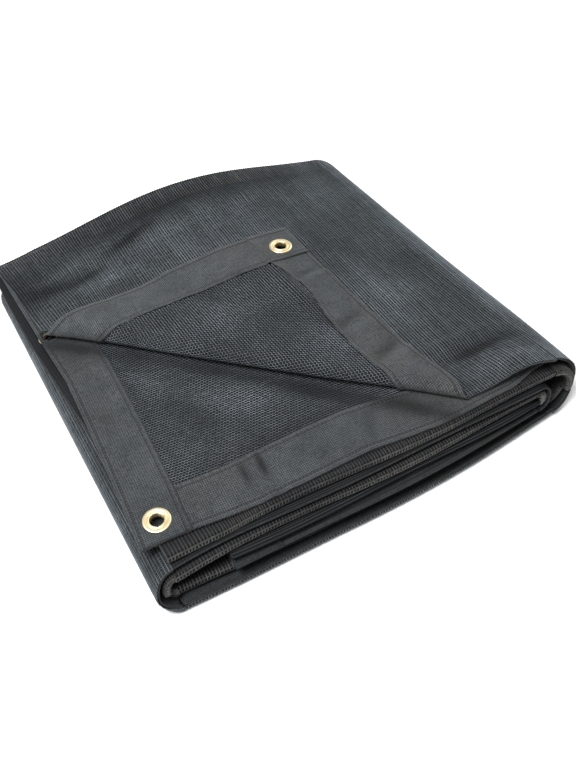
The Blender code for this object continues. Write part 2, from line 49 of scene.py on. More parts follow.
ORIGIN = np.array((-246.20, -234.49, -0.40)) * MM  # the roll's zero in the frame
UNEVEN = np.random.default_rng(7)

Change = namedtuple("Change", "start length")
Hill = namedtuple("Hill", "middle half_width")


def table(kind, *rows):
    """Rows of numbers as named values."""
    return tuple(kind(*row) for row in rows)


# --- Sizes of the cloth, threads and tapes ---

CLOTH = 1.0 * MM
TAPE = 1.0 * MM
TAPE_WIDTH = 50.8 * MM
TAPE_OFF = 1.55 * MM  # from the cloth's middle to the tape's
TAPE_OVER_TAPE = 1.6 * MM
PLY_DEPTH = 457 * MM
TAPE_SHARE = TAPE_WIDTH / PLY_DEPTH

# The knit: ribs across the roll on its outer face over fine rungs, a net of zigzag threads on its back, and
# chained threads along its edges. stands: how far a thread's middle lies off the cloth's face
Thread = namedtuple("Thread", "pitch half_width half_height stands")
RIB = Thread(3.3 * MM, 0.56 * MM, 0.6 * MM, 0.1 * MM)
RUNG = Thread(2.4 * MM, 0.36 * MM, 0.3 * MM, 0.15 * MM)
NET = Thread(3.0 * MM, 0.44 * MM, 0.6 * MM, 0.1 * MM)
CHAIN = Thread(1.5 * MM, 0.42 * MM, 0.42 * MM, 0.5 * MM)
STITCH = Thread(4.0 * MM, 0.42 * MM, 0.42 * MM, 0.2 * MM)
RIB_WANDER = 0.22 * MM
RIB_DRIFT_ROWS = 6  # rows of the grid over which a rib drifts to one side
RIB_SPREAD, RIB_TONE_SPREAD, RIB_DRIFT_TONE, RIB_POINT_TONE = 0.07, 0.09, 0.1, 0.12
RIB_LIMITS = (0.7, 1.3)
FOLD_RIB_WIDER = 1.65
RUNG_WANDER = 0.3 * MM
# The rungs: painted shade between the ribs, and its random spread and limits
RUNG_PAINTED_SHADE, RUNG_TONE_SPREAD, RUNG_TONE_LIMITS = 0.66, 0.2, (0.15, 1.4)
RUNG_END = 0.002
NET_STEP = 1.65 * MM
NET_SWING = 0.66 * MM
NET_LOOSE = 0.1 * MM
NET_END = 0.004
NET_SHADED_BEND, NET_BEND_SHADE = Hill(0.9, 0.8), 0.75  # painted shade round the turned corner's bend, with the bend as an angle
NET_BOLD_BEND, NET_BOLDER, NET_WIDER_SWING = Hill(1.9, 1.5), 0.4, 0.3
NET_SPREAD, NET_TONE_SPREAD, NET_SHADE_AND_TONE_LIMITS = 0.12, 0.16, (0.3, 1.8)
CHAIN_SWING = 0.55 * MM
CHAIN_TONE, CHAIN_TONE_SPREAD, CHAIN_TONE_LIMITS = 0.85, 0.3, (0.3, 1.7)
CHAINED_LEGS = (0, 1, 2, 3, 4)
CHAINS_ON_FOLD = (0.3, 0.7)
HIDDEN_PAST_FOLD = 5 * MM

# The tapes' weave and their stitches
TAPE_RIB = 2.0 * MM
TAPE_YARN = 2.3 * MM
PUCKER = 0.16 * MM
PUCKER_WAVES = (23 * MM, 9.5 * MM)
PUCKER_SECOND, PUCKER_TURNS = 0.6, 5
STITCHED_PART = Change(0.08, 0.84)
STITCH_LENGTH = 2.7 * MM
STITCH_SUNK = 0.35 * MM
STITCH_INSET = 5 * MM
STITCH_LINES = (STITCH_INSET, TAPE_WIDTH - STITCH_INSET)
STITCH_SAMPLES = 5
STITCH_TAPER = 0.35
THIRD_LINE = 0.55  # a side's third line of stitches, as a share of the inset
OPEN_EDGE = Change(0.88, 0.12)
OPEN_WAVE, OPEN_WAVE_SHARE, OPEN_WAVE_TURN = 61 * MM, 0.45, 1.0
END_OPEN = 0.3 * MM
CORNER_OPEN = 1.2 * MM
# A tape's cross creases: height, place along it and half width, and its lean across the strip
TapeCrease = namedtuple("TapeCrease", "height at half_width lean")
SIDE_1_CREASES = table(
    TapeCrease, (-0.8, 93, 6, 4), (1.2, 104, 8, 4), (-0.9, 180, 7, 14), (1.3, 193, 9, 14), (-0.9, 243, 7, 16),
    (1.2, 256, 9, 16),
)
SIDE_2_CREASES = table(
    TapeCrease, (0.8, 125, 5, 6), (-0.7, 135, 4, 6), (0.8, 146, 6, 6), (-0.6, 114, 4, 6), (0.7, 236, 10, -6),
    (0.7, 296, 10, -6),
)
END_CREASES = table(TapeCrease, (0.8, 150, 9, 5), (-0.8, 230, 7, -5), (0.8, 90, 8, -6))

# --- The flat roll ---

# Its top, bottom, upper and lower run, with how far inward plies 2 to 4 lie. A leg is a run or a turn: 0 is
# the top run, 1 the turn after it, and so on
Run = namedtuple("Run", "start end start_height end_height ply_2 ply_3 ply_4")
RUNS = table(
    Run, (0, 460, 68.4, 68.4, 5.0, 7.4, 15.0), (460, 16, 1.0, 1.0, 5.0, 7.4, 14.6),
    (16, 440, 43.5, 48.4, 5.0, 7.4, 13.9), (440, 72, 18.0, 18.0, 4.8, 6.9, 13.4),
)
RUN_LEVELS_OFF = 5
FREE_END_PLY_3 = 8.6 * MM
FREE_END_PLY_4 = 16.2 * MM
FREE_END_FADE = Change(50.8 * MM, 69.2 * MM)
LAST_LEG = 2 * len(RUNS) - 2

EndRow = namedtuple("EndRow", "depth ply_1 ply_2 folded_plies")
FREE_END = table(
    EndRow, (0, 18, -6, 15), (70, 11, 0, 12), (150, 8, 5, 8), (240, 11, 9, 1), (320, 12, 5, -4),
    (400, 5, 2, -6), (470, -3, 0, -4),
)

FrontLine = namedtuple("FrontLine", "at_end end_fades along at_turn turn_comes")
FRONT_PLY_1 = FrontLine(-6.5 * MM, 300 * MM, -1 * MM, 4 * MM, Change(310 * MM, 50 * MM))
FRONT_PLY_2 = FrontLine(11 * MM, 120 * MM, 6 * MM, 15 * MM, Change(400 * MM, 50 * MM))
FRONT_PLY_2_BULGE = 5 * MM
FRONT_PLY_2_BULGE_AT = Hill(310 * MM, 90 * MM)
FOLD_FRONT = 4 * MM
FOLD_BULGE = 1.05
INNER_BACK_FOLD = 9 * MM
TURN_UP = math.radians(62)
TURN_UP_CREASES = (12 * MM, 5 * MM)
TURN_UP_ROOM = 8 * MM
TURN_UP_ROOM_COMES = 3
TURN_UP_REACH = 5.5 * MM
WAVE = 1.6 * MM
WAVE_PER_METRE, WAVE_PER_PLY, WAVE_PER_LEG = 23, 2.1, 1.7

# --- The pack's unevenness ---

PACK_HEIGHT = 69 * MM
HIGHEST_LEVEL = 1.25
CROWN = 9 * MM
CROWN_ALONG = Hill(250 * MM, 300 * MM)
CROWN_ACROSS = Change(-20 * MM, 400 * MM)
SLANT = 33 * MM
BACK_SLANT_SHARE = 0.35
BACK_BOW = 40 * MM
BACK_BOW_ALONG = Hill(260 * MM, 270 * MM)
FOOT_BOW_SHARE = 0.35
RIGHT_TAPER = 20 * MM
RIGHT_PART = Change(270 * MM, 220 * MM)
RIGHT_BULGE = 4 * MM
RIGHT_BULGE_AT = Hill(0.1, 0.45)
LEFT_TAPER = 3 * MM
LEFT_PART = Change(0, 100 * MM)
RIGHT_SETBACK = 25 * MM
RIGHT_SETBACK_AT = Change(200 * MM, 264 * MM)
RIGHT_SETBACK_POWER = 1.6
EDGE_DROOP = 3 * MM
LIFT = 16 * MM
LIFT_ALONG = Hill(428 * MM, 62 * MM)
LIFT_FADES = Change(-10 * MM, 100 * MM)
LIFT_LOWEST = 30 * MM

# --- The corner turned back ---

FOLD_LEFT = np.array((12, 327)) * MM
FOLD_RIGHT = np.array((354, 4)) * MM
FOLD_LENGTH = float(np.linalg.norm(FOLD_RIGHT - FOLD_LEFT))
FOLD_ALONG = (FOLD_RIGHT - FOLD_LEFT) / FOLD_LENGTH
FOLD_PAST = np.array((FOLD_ALONG[1], -FOLD_ALONG[0]))
FOLD_RADIUS_LEFT = 12 * MM
FOLD_RADIUS_RIGHT = 5 * MM
FOLD_SPREAD = (-0.4, 1.2)
FOLD_BOW = 5 * MM
FOLD_BOW_ALONG = Hill(0.4, 0.4)
FOLD_END_SHIFT = 9 * MM
FOLD_END = Change(0.65, 0.35)
FOLD_BOW_REACH = Hill(0, 58 * MM)
FLAP_REST = 4.6 * MM
FLAP_SETTLES = 85 * MM
FLAP_LOWEST = -2 * MM
SWELLS_FADE = Change(430 * MM, 30 * MM)
PLY_2_SWELLS_FADE = Change(400 * MM, 50 * MM)

ALL_PLIES = range(7)
PLY_1, BACK_FOLD, PLY_4, FRONT_FOLD, PLY_3, INNER_FOLD, PLY_2 = ALL_PLIES
FOLDS = (BACK_FOLD, FRONT_FOLD, INNER_FOLD)
BACK_TO_FRONT = (PLY_4, PLY_2)

# Soft creases and swells on a ply: a hill's height, its middle, half its length and half its width, and the
# turn of its length from the x axis in degrees
Crease = namedtuple("Crease", "height x y half_length half_width turn")
TOP_CREASES = table(
    Crease,
    (-3.5, 400, 62, 80, 10, 0), (1.8, 395, 84, 90, 9, 0), (2.0, 400, 26, 60, 12, 0),
    (-2.2, 330, 345, 150, 26, 16), (2.6, 230, 404, 260, 16, 1), (-3.4, 190, 436, 260, 16, 1),
    (-2.8, 84, 372, 80, 12, 3), (2.4, 66, 350, 40, 14, 10), (-2.2, 20, 356, 34, 14, 60),
    (-1.8, 420, 250, 130, 26, -70), (1.8, 376, 180, 80, 26, -62),
)
FLAP_CREASES = table(
    Crease,
    (4.5, 118, 46, 80, 9, 2), (2.0, 250, 52, 40, 9, 8), (1.2, 130, 90, 60, 24, -40),
    (-1.0, 90, 170, 60, 22, -30), (1.0, 210, 70, 60, 20, -48),
)
PLY_2_CREASES = table(
    Crease,
    (2.2, 150, 190, 120, 11, -42), (-2.0, 178, 160, 120, 11, -40), (2.0, 120, 130, 90, 11, -44),
    (-1.8, 232, 92, 80, 11, -30), (1.6, 90, 230, 60, 11, -50), (-1.8, 108, 178, 70, 10, -48),
)
# In the tables below, the height is how much darker the cloth shows in a trough, over a dark gap or in the
# turned corner's shadow, and below zero, how much lighter where it stands up
TOP_SHADES = table(
    Crease,
    (0.68, 250, 430, 420, 27, 1), (0.66, 152, 397, 62, 7, 14), (0.62, 92, 374, 50, 7, 4),
    (0.50, 36, 380, 50, 10, -14), (0.30, 30, 370, 110, 60, 0), (0.42, 2, 384, 70, 20, 86),
    (0.58, 404, 60, 74, 9, 0), (0.38, 412, 200, 330, 58, 90), (0.15, 445, 100, 120, 20, 90),
    (0.20, 385, 272, 80, 20, -50), (-0.40, 376, 180, 90, 34, -62), (-0.35, 66, 396, 50, 7, 10),
    (-0.35, 410, 26, 70, 14, 0), (-0.38, 200, 384, 170, 10, 5), (-0.45, 110, 352, 70, 9, 8),
)
FLAP_SHADES = table(
    Crease,
    (0.18, 150, 80, 60, 22, -40), (-0.15, 100, 130, 80, 20, -40), (0.15, 80, 200, 60, 18, -50),
    (0.55, 170, 44, 170, 5, 2), (0.40, 54, 180, 170, 4, 90),
)
FLAP_SHADOW = (0.72, 171, 153, 620, 11, -43.4)
PLY_2_SHADES = table(
    Crease, FLAP_SHADOW,
    (0.42, 102, 130, 62, 15, -66), (-0.32, 172, 118, 60, 24, -50), (-0.28, 98, 202, 36, 18, 0),
    (0.30, 138, 92, 40, 10, -50), (-0.25, 72, 110, 40, 9, -70), (0.30, 236, 84, 50, 9, -40),
    (0.35, 84, 214, 60, 10, -50), (0.35, 190, 66, 150, 8, 0), (0.35, 62, 190, 110, 7, -88),
)
TAPE_SHADES = {
    PLY_1: table(
        Crease,
        (0.12, 180, 20, 400, 90, 0), (0.35, 95, 20, 30, 4, 82), (-0.15, 105, 20, 30, 6, 82),
        (0.42, 182, 28, 34, 7, 72), (-0.15, 198, 24, 34, 9, 74), (0.45, 246, 26, 36, 7, 66),
        (-0.15, 262, 24, 34, 9, 70), (0.25, 226, 8, 30, 8, 20), (0.20, 30, 150, 26, 9, 12),
        (0.20, 30, 232, 26, 9, -10),
    ),
    PLY_2: table(
        Crease, FLAP_SHADOW,
        (0.25, 200, 30, 420, 34, 0), (0.30, 22, 200, 330, 30, 90), (0.80, 134, 40, 22, 3.5, 84),
        (0.55, 115, 38, 19, 4, 86), (0.20, 250, 30, 30, 8, 70), (-0.15, 150, 30, 30, 9, 84),
    ),
}
# Painted shade on the tapes off the top runs of plies 1 and 2
DEEP_TAPE_SHADE = 0.36
CLOTH_SHADE_LIMITS = (0.25, 1.6)
TAPE_SHADE_LIMITS = (0.2, 1.6)
# Painted light along the middle of a front fold, and painted shade towards its edges and beside it
FOLD_LIT = Hill(0.4, 0.4)  # the share of a front fold that shows lightest
FOLD_SHADE_TO_LIGHT = (0.3, 1.5)


# --- Shaping helpers, on arrays ---


def smooth(value):
    value = np.clip(value, 0.0, 1.0)
    return value * value * (3 - 2 * value)


def mix(start, end, share):
    return start + (end - start) * share


def changed(value, change):
    return smooth((value - change.start) / change.length)


def hump(value, hill):
    away = np.clip(np.abs(value - hill.middle) / hill.half_width, 0.0, 1.0)
    return np.cos(away * math.pi / 2) ** 2


def unit(vectors):
    return vectors / np.maximum(1e-12, np.linalg.norm(vectors, axis=-1, keepdims=True))


def swell(x, y, creases):
    """The height of a table of creases at x and y, in millimetres."""
    height = np.zeros(np.broadcast(x, y).shape)
    for crease in creases:
        turn = math.radians(crease.turn)
        dx, dy = x / MM - crease.x, y / MM - crease.y
        along = dx * math.cos(turn) + dy * math.sin(turn)
        across = dy * math.cos(turn) - dx * math.sin(turn)
        ridge = np.exp(-((across / crease.half_width) ** 2))
        height = height + crease.height * hump(along, Hill(0, crease.half_length)) * ridge
    return height


# --- The section of the flat roll ---

Station = namedtuple("Station", "leg x z inward_x inward_z plies")


def run_station(leg, share):
    run = RUNS[leg // 2]
    x = mix(run.start, run.end, share) * MM
    levelled = 1 - (1 - np.minimum(1.0, share * RUN_LEVELS_OFF)) ** 2
    zero = np.zeros_like(x)
    plies = [zero + inset * MM for inset in (0, run.ply_2, run.ply_3, run.ply_4)]
    if leg == 0:
        end = 1 - changed(x, FREE_END_FADE)
        plies[2:] = mix(plies[2], FREE_END_PLY_3, end), mix(plies[3], FREE_END_PLY_4, end)
    inward = zero + (-1.0 if leg % 4 == 0 else 1.0)
    return Station(leg, x, mix(run.start_height, run.end_height, levelled) * MM, zero, inward, plies)


def turn_ends(leg):
    """The runs' ends at a turn, and its radius, below zero where the roll turns upwards."""
    before, after = run_station(leg - 1, np.array(1.0)), run_station(leg + 1, np.array(0.0))
    return before, after, float(before.z - after.z) / 2


def turn_station(leg, share):
    before, after, radius = turn_ends(leg)
    angle = math.pi * share
    side = 1 if leg % 4 == 1 else -1
    out_x, out_z = side * np.sin(angle), math.copysign(1, radius) * np.cos(angle)
    x, z = before.x + abs(radius) * out_x, (before.z + after.z) / 2 + abs(radius) * out_z
    plies = [mix(a, b, smooth(share)) for a, b in zip(before.plies, after.plies)]
    return Station(leg, x, z, -out_x, -out_z, plies)


def station_at(leg, share):
    return turn_station(leg, share) if leg % 2 else run_station(leg, share)


def leg_length(leg):
    if leg % 2:
        return math.pi * abs(turn_ends(leg)[2])
    return abs(RUNS[leg // 2].end - RUNS[leg // 2].start) * MM


# --- The fold across the roll: four plies ---


def turned_up(station):
    """How far ply 1's front edge is turned up: on the bottom run, and coming round the turns beside it."""
    if station.leg == 2:
        return np.ones_like(station.x)
    if station.leg not in (1, 3):
        return np.zeros_like(station.x)
    lower_half = station.z < RUNS[2].start_height * MM / 2
    return np.where(lower_half, smooth(np.abs(station.inward_z)), 0.0)


def front_line(line, station):
    front = np.full_like(station.x, line.along)
    if station.leg < 2:
        front = mix(line.at_end, front, smooth(station.x / line.end_fades))
        front = mix(front, line.at_turn, changed(station.x, line.turn_comes) * (1 - turned_up(station)))
    return front


def front_of(ply, station):
    turn = turned_up(station)
    phase = station.x * WAVE_PER_METRE + min(ply, 2) * WAVE_PER_PLY + station.leg * WAVE_PER_LEG
    wave = WAVE * np.sin(phase)
    if ply == 0:
        return front_line(FRONT_PLY_1, station) - turn * TURN_UP_REACH + wave / 2
    room = TURN_UP_ROOM * smooth(turn * TURN_UP_ROOM_COMES)
    if ply == 1:
        bulge = FRONT_PLY_2_BULGE * hump(station.x, FRONT_PLY_2_BULGE_AT) if station.leg < 2 else 0
        return front_line(FRONT_PLY_2, station) - bulge + room + wave
    return FOLD_FRONT + room + wave


def back_of(ply):
    return PLY_DEPTH - (INNER_BACK_FOLD if ply in (1, 2) else 0)


def fold_arc(middle_y, way, inset_a, inset_b, share):
    angle = math.pi * share
    half = (inset_b - inset_a) / 2
    return middle_y + way * FOLD_BULGE * np.abs(half) * np.sin(angle), inset_a + half - half * np.cos(angle)


def ply_1_profile(station, share):
    front = front_of(0, station)
    crease, second = TURN_UP_CREASES
    angle = TURN_UP * turned_up(station)
    away = share * (back_of(0) - front)
    first_leg = np.clip(crease - away, 0.0, crease - second)
    second_leg = np.maximum(0.0, second - away)
    turned_y = front + crease - first_leg * np.cos(angle / 2) - second_leg * np.cos(angle)
    y = np.where(away >= crease, front + away, turned_y)
    return y, first_leg * np.sin(angle / 2) + second_leg * np.sin(angle)


def profile(station, piece, share):
    """How far back a piece of the cloth lies, and how far inward from ply 1."""
    ply_1, ply_2, ply_3, ply_4 = station.plies
    if piece == PLY_1:
        return ply_1_profile(station, share)
    if piece == BACK_FOLD:
        return fold_arc(back_of(0), 1, ply_1, ply_4, share)
    if piece == FRONT_FOLD:
        return fold_arc(front_of(2, station), -1, ply_4, ply_3, share)
    if piece == INNER_FOLD:
        return fold_arc(back_of(1), 1, ply_3, ply_2, share)
    ply = {PLY_4: 3, PLY_3: 2, PLY_2: 1}[piece]
    return mix(front_of(ply, station), back_of(ply), share), station.plies[ply] + 0 * share


def end_line(piece, depth):
    column = "ply_1" if piece == PLY_1 else "ply_2" if piece in (PLY_2, INNER_FOLD) else "folded_plies"
    depths = [row.depth for row in FREE_END]
    return np.interp(depth / MM, depths, [getattr(row, column) for row in FREE_END]) * MM


# --- The turned corner and the pack's unevenness ---


def droop(x, y):
    return EDGE_DROOP * (np.maximum(0.0, 1 - x / TAPE_WIDTH) + np.maximum(0.0, 1 - y / TAPE_WIDTH))


def fold_frame(x, y):
    """A place's share of the corner's fold line, its distance past it, and the fold's radius there."""
    dx, dy = x - FOLD_LEFT[0], y - FOLD_LEFT[1]
    share = (dx * FOLD_ALONG[0] + dy * FOLD_ALONG[1]) / FOLD_LENGTH
    distance = dx * FOLD_PAST[0] + dy * FOLD_PAST[1]
    return share, distance, mix(FOLD_RADIUS_LEFT, FOLD_RADIUS_RIGHT, np.clip(share, *FOLD_SPREAD))


def turn_corner_back(x, y):
    share, distance, radius = fold_frame(x, y)
    angle = np.clip(distance / radius, 0.0, math.pi)
    laid = np.maximum(0.0, distance - math.pi * radius)
    reach = np.minimum(distance, 0.0) + radius * np.sin(angle) - laid
    height = mix(radius * (1 - np.cos(angle)), FLAP_REST, smooth(laid / FLAP_SETTLES))
    bow = FOLD_BOW * hump(share, FOLD_BOW_ALONG) - FOLD_END_SHIFT * changed(share, FOLD_END)
    reach = reach + bow * hump(reach, FOLD_BOW_REACH)
    along = share * FOLD_LENGTH
    turned = [FOLD_LEFT[axis] + FOLD_ALONG[axis] * along + FOLD_PAST[axis] * reach for axis in (0, 1)]
    return *turned, height, laid


def lift_of(x, y):
    return LIFT * hump(x, LIFT_ALONG) * (1 - changed(y, LIFT_FADES))


def level_of(z):
    return np.clip((z - RUNS[1].start_height * MM) / PACK_HEIGHT, 0.0, HIGHEST_LEVEL)


def uneven(x, y, z, band_height):
    """A place in the even pack moved by the pack's crown, bow, slant, setback, taper and bulge."""
    level, deep = level_of(z), y / PLY_DEPTH
    crown = CROWN * hump(x, CROWN_ALONG) * changed(y, CROWN_ACROSS) * level
    bow = BACK_BOW * hump(x, BACK_BOW_ALONG) * np.maximum(0.0, deep) ** 2 * mix(FOOT_BOW_SHARE, 1, level)
    slanting = 1 - level_of(mix(band_height, z, smooth(deep)))
    slant = SLANT * slanting * mix(1, BACK_SLANT_SHARE, np.clip(deep, 0.0, 1.0))
    to_the_right = np.maximum(0.0, (x - RIGHT_SETBACK_AT.start) / RIGHT_SETBACK_AT.length)
    setback = RIGHT_SETBACK * to_the_right ** RIGHT_SETBACK_POWER * (1 - level) * (1 - smooth(deep))
    right, left = changed(x, RIGHT_PART), 1 - changed(x, LEFT_PART)
    taper = (LEFT_TAPER * left - RIGHT_TAPER * right) * np.maximum(0.0, deep)
    bulge = RIGHT_BULGE * right * hump(deep, RIGHT_BULGE_AT)
    return np.stack((x + taper + bulge, y + bow - slant + setback, z + crown), axis=-1)


def place_ply_1(x, y):
    """Ply 1 on the top run: its corner is turned back, and its swells fade towards the turn."""
    turned_x, turned_y, height, laid = turn_corner_back(x, y)
    z = RUNS[0].start_height * MM - droop(turned_x, turned_y) + lift_of(turned_x, turned_y)
    top = swell(turned_x, turned_y, TOP_CREASES) * MM * (1 - smooth(height / FLAP_REST))
    flap = swell(x, y, FLAP_CREASES) * MM * smooth(laid / FLAP_SETTLES)
    point = uneven(turned_x, turned_y, z, z)
    point[..., 2] += height + (top + np.maximum(flap, FLAP_LOWEST)) * (1 - changed(turned_x, SWELLS_FADE))
    return point


def in_pack(piece, station, share):
    """Points in the even pack, before the corner is turned back."""
    y, inset = profile(station, piece, share)
    x, z = station.x + station.inward_x * inset, station.z + station.inward_z * inset
    x, y, z = np.broadcast_arrays(x, y, z)
    if station.leg == 0:
        x = x + end_line(piece, y) * (1 - changed(station.x, FREE_END_FADE))
        z = z if piece == PLY_1 else z - droop(x, y)
    return x, y, z


def on_top(piece, shares, along):
    """Where shares of a piece by places along the top run lie in the even pack, seen from above."""
    return in_pack(piece, station_at(0, along), shares[:, None])[:2]


def place(piece, station, share):
    """Points of the cloth's middle surface, on arrays that broadcast to rows by columns."""
    x, y, z = in_pack(piece, station, share)
    if piece == PLY_1 and station.leg == 0:
        return place_ply_1(x, y)
    folded = piece in (PLY_4, FRONT_FOLD, PLY_3)
    band = (station.plies[2] + station.plies[3]) / 2
    point = uneven(x, y, z, station.z + station.inward_z * band if folded else z)
    if piece == PLY_1 and station.leg == 1:
        lifted = lift_of(x, y) * np.abs(station.inward_z)
        point[..., 2] += np.where(station.z > LIFT_LOWEST, lifted, 0.0)
    if piece == PLY_2 and station.leg == 0:
        point[..., 2] += swell(x, y, PLY_2_CREASES) * MM * (1 - changed(station.x, PLY_2_SWELLS_FADE))
    return point


# --- Grids over the cloth ---

FOLD_STEP = 0.02  # a fold's depth in the flat cloth, as a share of a ply's
FLAT_START = {PLY_1: 0, BACK_FOLD: 1, PLY_4: 2, FRONT_FOLD: 2, PLY_3: 2, INNER_FOLD: 3, PLY_2: 4}


def columns_on(leg, spacing, first=0.0, last=1.0):
    """Shares of a leg of the roll, evenly spaced."""
    count = max(2, int(round(leg_length(leg) * (last - first) / spacing)) + 1)
    return np.linspace(first, last, count)


def cloth_grid(rows, columns, widen=None):
    """Points of the cloth, rows by columns. rows are (piece, shares) in the sheet's order, columns are (leg,
    shares), and widen gives a factor on a piece's shares at each place along a leg."""
    bands = []
    for piece, shares in rows:
        wide = [shares[:, None] * (widen(piece, leg, along) if widen else 1.0) for leg, along in columns]
        band = [place(piece, station_at(leg, along), share) for (leg, along), share in zip(columns, wide)]
        bands.append(np.concatenate(band, axis=1))
    return np.concatenate(bands, axis=0)


def flat_lengths(rows, columns):
    """The flat sheet's coordinates of a grid, along the roll and across it, in metres."""
    across = []
    for piece, shares in rows:
        step = shares * (FOLD_STEP if piece in FOLDS else 1)
        across.append((FLAT_START[piece] + (-step if piece in BACK_TO_FRONT else step)) * PLY_DEPTH)
    leg_starts = np.cumsum([0.0] + [leg_length(leg) for leg in range(LAST_LEG)])
    along = [leg_starts[leg] + shares * leg_length(leg) for leg, shares in columns]
    across, along = np.concatenate(across), np.concatenate(along)
    return np.stack(np.broadcast_arrays(along[None, :], across[:, None]), axis=-1)


def in_order(piece, shares):
    """Rows on a piece in the sheet's order: two of the plies run from the back to the front."""
    return [(piece, shares[::-1] if piece in BACK_TO_FRONT else shares)]


def with_shade_and_tone(flat, shade_and_tone, limits):
    """Flat coordinates with a third value: painted shade and light, with any random tone, for the colour."""
    return np.concatenate((flat, np.clip(shade_and_tone, *limits)[..., None]), axis=-1)


def is_top(rows, columns):
    return [piece for piece, _ in rows] == [PLY_1] and [leg for leg, _ in columns] == [0]


def shaded(rows, columns):
    """Flat coordinates and painted shade: painted shade and light on ply 1's top run, and a painted lit band
    with shaded edges along the front folds.
    """
    flat = flat_lengths(rows, columns)
    shade_and_tone = np.ones(flat.shape[:2])
    if is_top(rows, columns):
        shade_and_tone = 1 - swell(*on_top(PLY_1, rows[0][1], columns[0][1]), TOP_SHADES)
    elif rows[0][0] == PLY_4:
        lit = [hump(shares, FOLD_LIT) * (piece == FRONT_FOLD) for piece, shares in rows]
        shade_and_tone = shade_and_tone * mix(*FOLD_SHADE_TO_LIGHT, np.concatenate(lit))[:, None]
    return with_shade_and_tone(flat, shade_and_tone, CLOTH_SHADE_LIMITS)


def normals_of(points):
    """Normals of a grid, on the cloth's face that lies outside on ply 1."""
    return unit(np.cross(np.gradient(points, axis=1), np.gradient(points, axis=0)))


# --- Meshes ---


def make_mesh(name, points, faces, material, flat=None):
    """An object from arrays of points and faces, smooth shaded. flat gives the cloth's own metres along the
    roll and across it, for its UVs, and if it has a third column, its painted shade and tone."""
    mesh = bpy.data.meshes.new(name)
    mesh.from_pydata((points + ORIGIN).tolist(), [], faces.tolist())
    mesh.polygons.foreach_set("use_smooth", np.ones(len(mesh.polygons), dtype=bool))
    if flat is not None:
        corner = np.empty(len(mesh.loops), dtype=np.int32)
        mesh.loops.foreach_get("vertex_index", corner)
        layer = mesh.uv_layers.new(name="flat")
        layer.data.foreach_set("uv", flat[corner, :2].astype(np.float32).ravel())
    if flat is not None and flat.shape[1] == 3:
        shade = mesh.color_attributes.new(name="shade", type="FLOAT_COLOR", domain="POINT")
        tones = np.repeat(flat[:, 2:], 4, axis=1)
        tones[:, 3] = 1.0
        shade.data.foreach_set("color", tones.astype(np.float32).ravel())
    mesh.materials.append(material)
    mesh.update()
    made = bpy.data.objects.new(name, mesh)
    bpy.context.scene.collection.objects.link(made)
    return made


def make_piece(name, parts, material, stands_for=None):
    """One of the part's pieces, from sets of points, faces and flat coordinates."""
    starts = np.cumsum([0] + [len(points) for points, _, _ in parts])
    points = np.concatenate([points for points, _, _ in parts])
    faces = np.concatenate([faces + start for (_, faces, _), start in zip(parts, starts)])
    flats = [flat for _, _, flat in parts if flat is not None]
    made = make_mesh(name, points, faces, material, np.concatenate(flats) if flats else None)
    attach(made, "root")
    if stands_for:
        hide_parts(stands_for)
    return made


def shell(points, normals, thickness, flat, quads):
    """A closed sheet about a grid, with walls round its edges and holes."""
    used, quads = np.unique(quads, return_inverse=True)
    quads = quads.reshape(-1, 4)
    points, normals, flat = (grid.reshape(-1, grid.shape[-1])[used] for grid in (points, normals, flat))
    count = len(points)
    start, end = quads.ravel(), np.roll(quads, -1, axis=1).ravel()
    edge = ~np.isin(start * count + end, end * count + start)
    start, end = start[edge], end[edge]
    walls = np.stack((end, start, start + count, end + count), axis=-1)
    both = np.concatenate((points + normals * thickness / 2, points - normals * thickness / 2))
    return both, np.concatenate((quads, quads[:, ::-1] + count, walls)), np.concatenate((flat, flat))


def tubes(centres, normals, half_width, half_height, keep, flat, sides=3):
    """Threads along each row of a grid: rings of a few sides, left out where keep is false."""
    strands, count = centres.shape[:2]
    side = unit(np.cross(unit(np.gradient(centres, axis=1)), normals))
    ring = []
    for angle in math.pi / 2 + 2 * math.pi * np.arange(sides) / sides:
        ring.append(centres + side * half_width * math.cos(angle) + normals * half_height * math.sin(angle))
    points = np.stack(ring, axis=2).reshape(-1, 3)
    index = np.arange(strands * count * sides).reshape(strands, count, sides)
    near, far = index[:, :-1], index[:, 1:]
    quads = np.stack((near, np.roll(near, -1, axis=2), np.roll(far, -1, axis=2), far), axis=-1)
    used, faces = np.unique(quads[keep[:, :-1] & keep[:, 1:]], return_inverse=True)
    flats = np.repeat(flat.reshape(-1, flat.shape[-1]), sides, axis=0)
    return points[used], faces.reshape(-1, 4), flats[used]


# --- Materials ---

LINE_CORE = 0.35  # the middle of a drawn line, at its full strength
YARN_SHARE, FUZZ_SHARE = 0.7, 0.5  # of the height of the tape's ribs
# The grooves under the stitch lines: half width, bump depth and painted shade
GROOVE_HALF_WIDTH, GROOVE_DEPTH, GROOVE_PAINTED_SHADE = 1.3 * MM, 2.5, 0.7


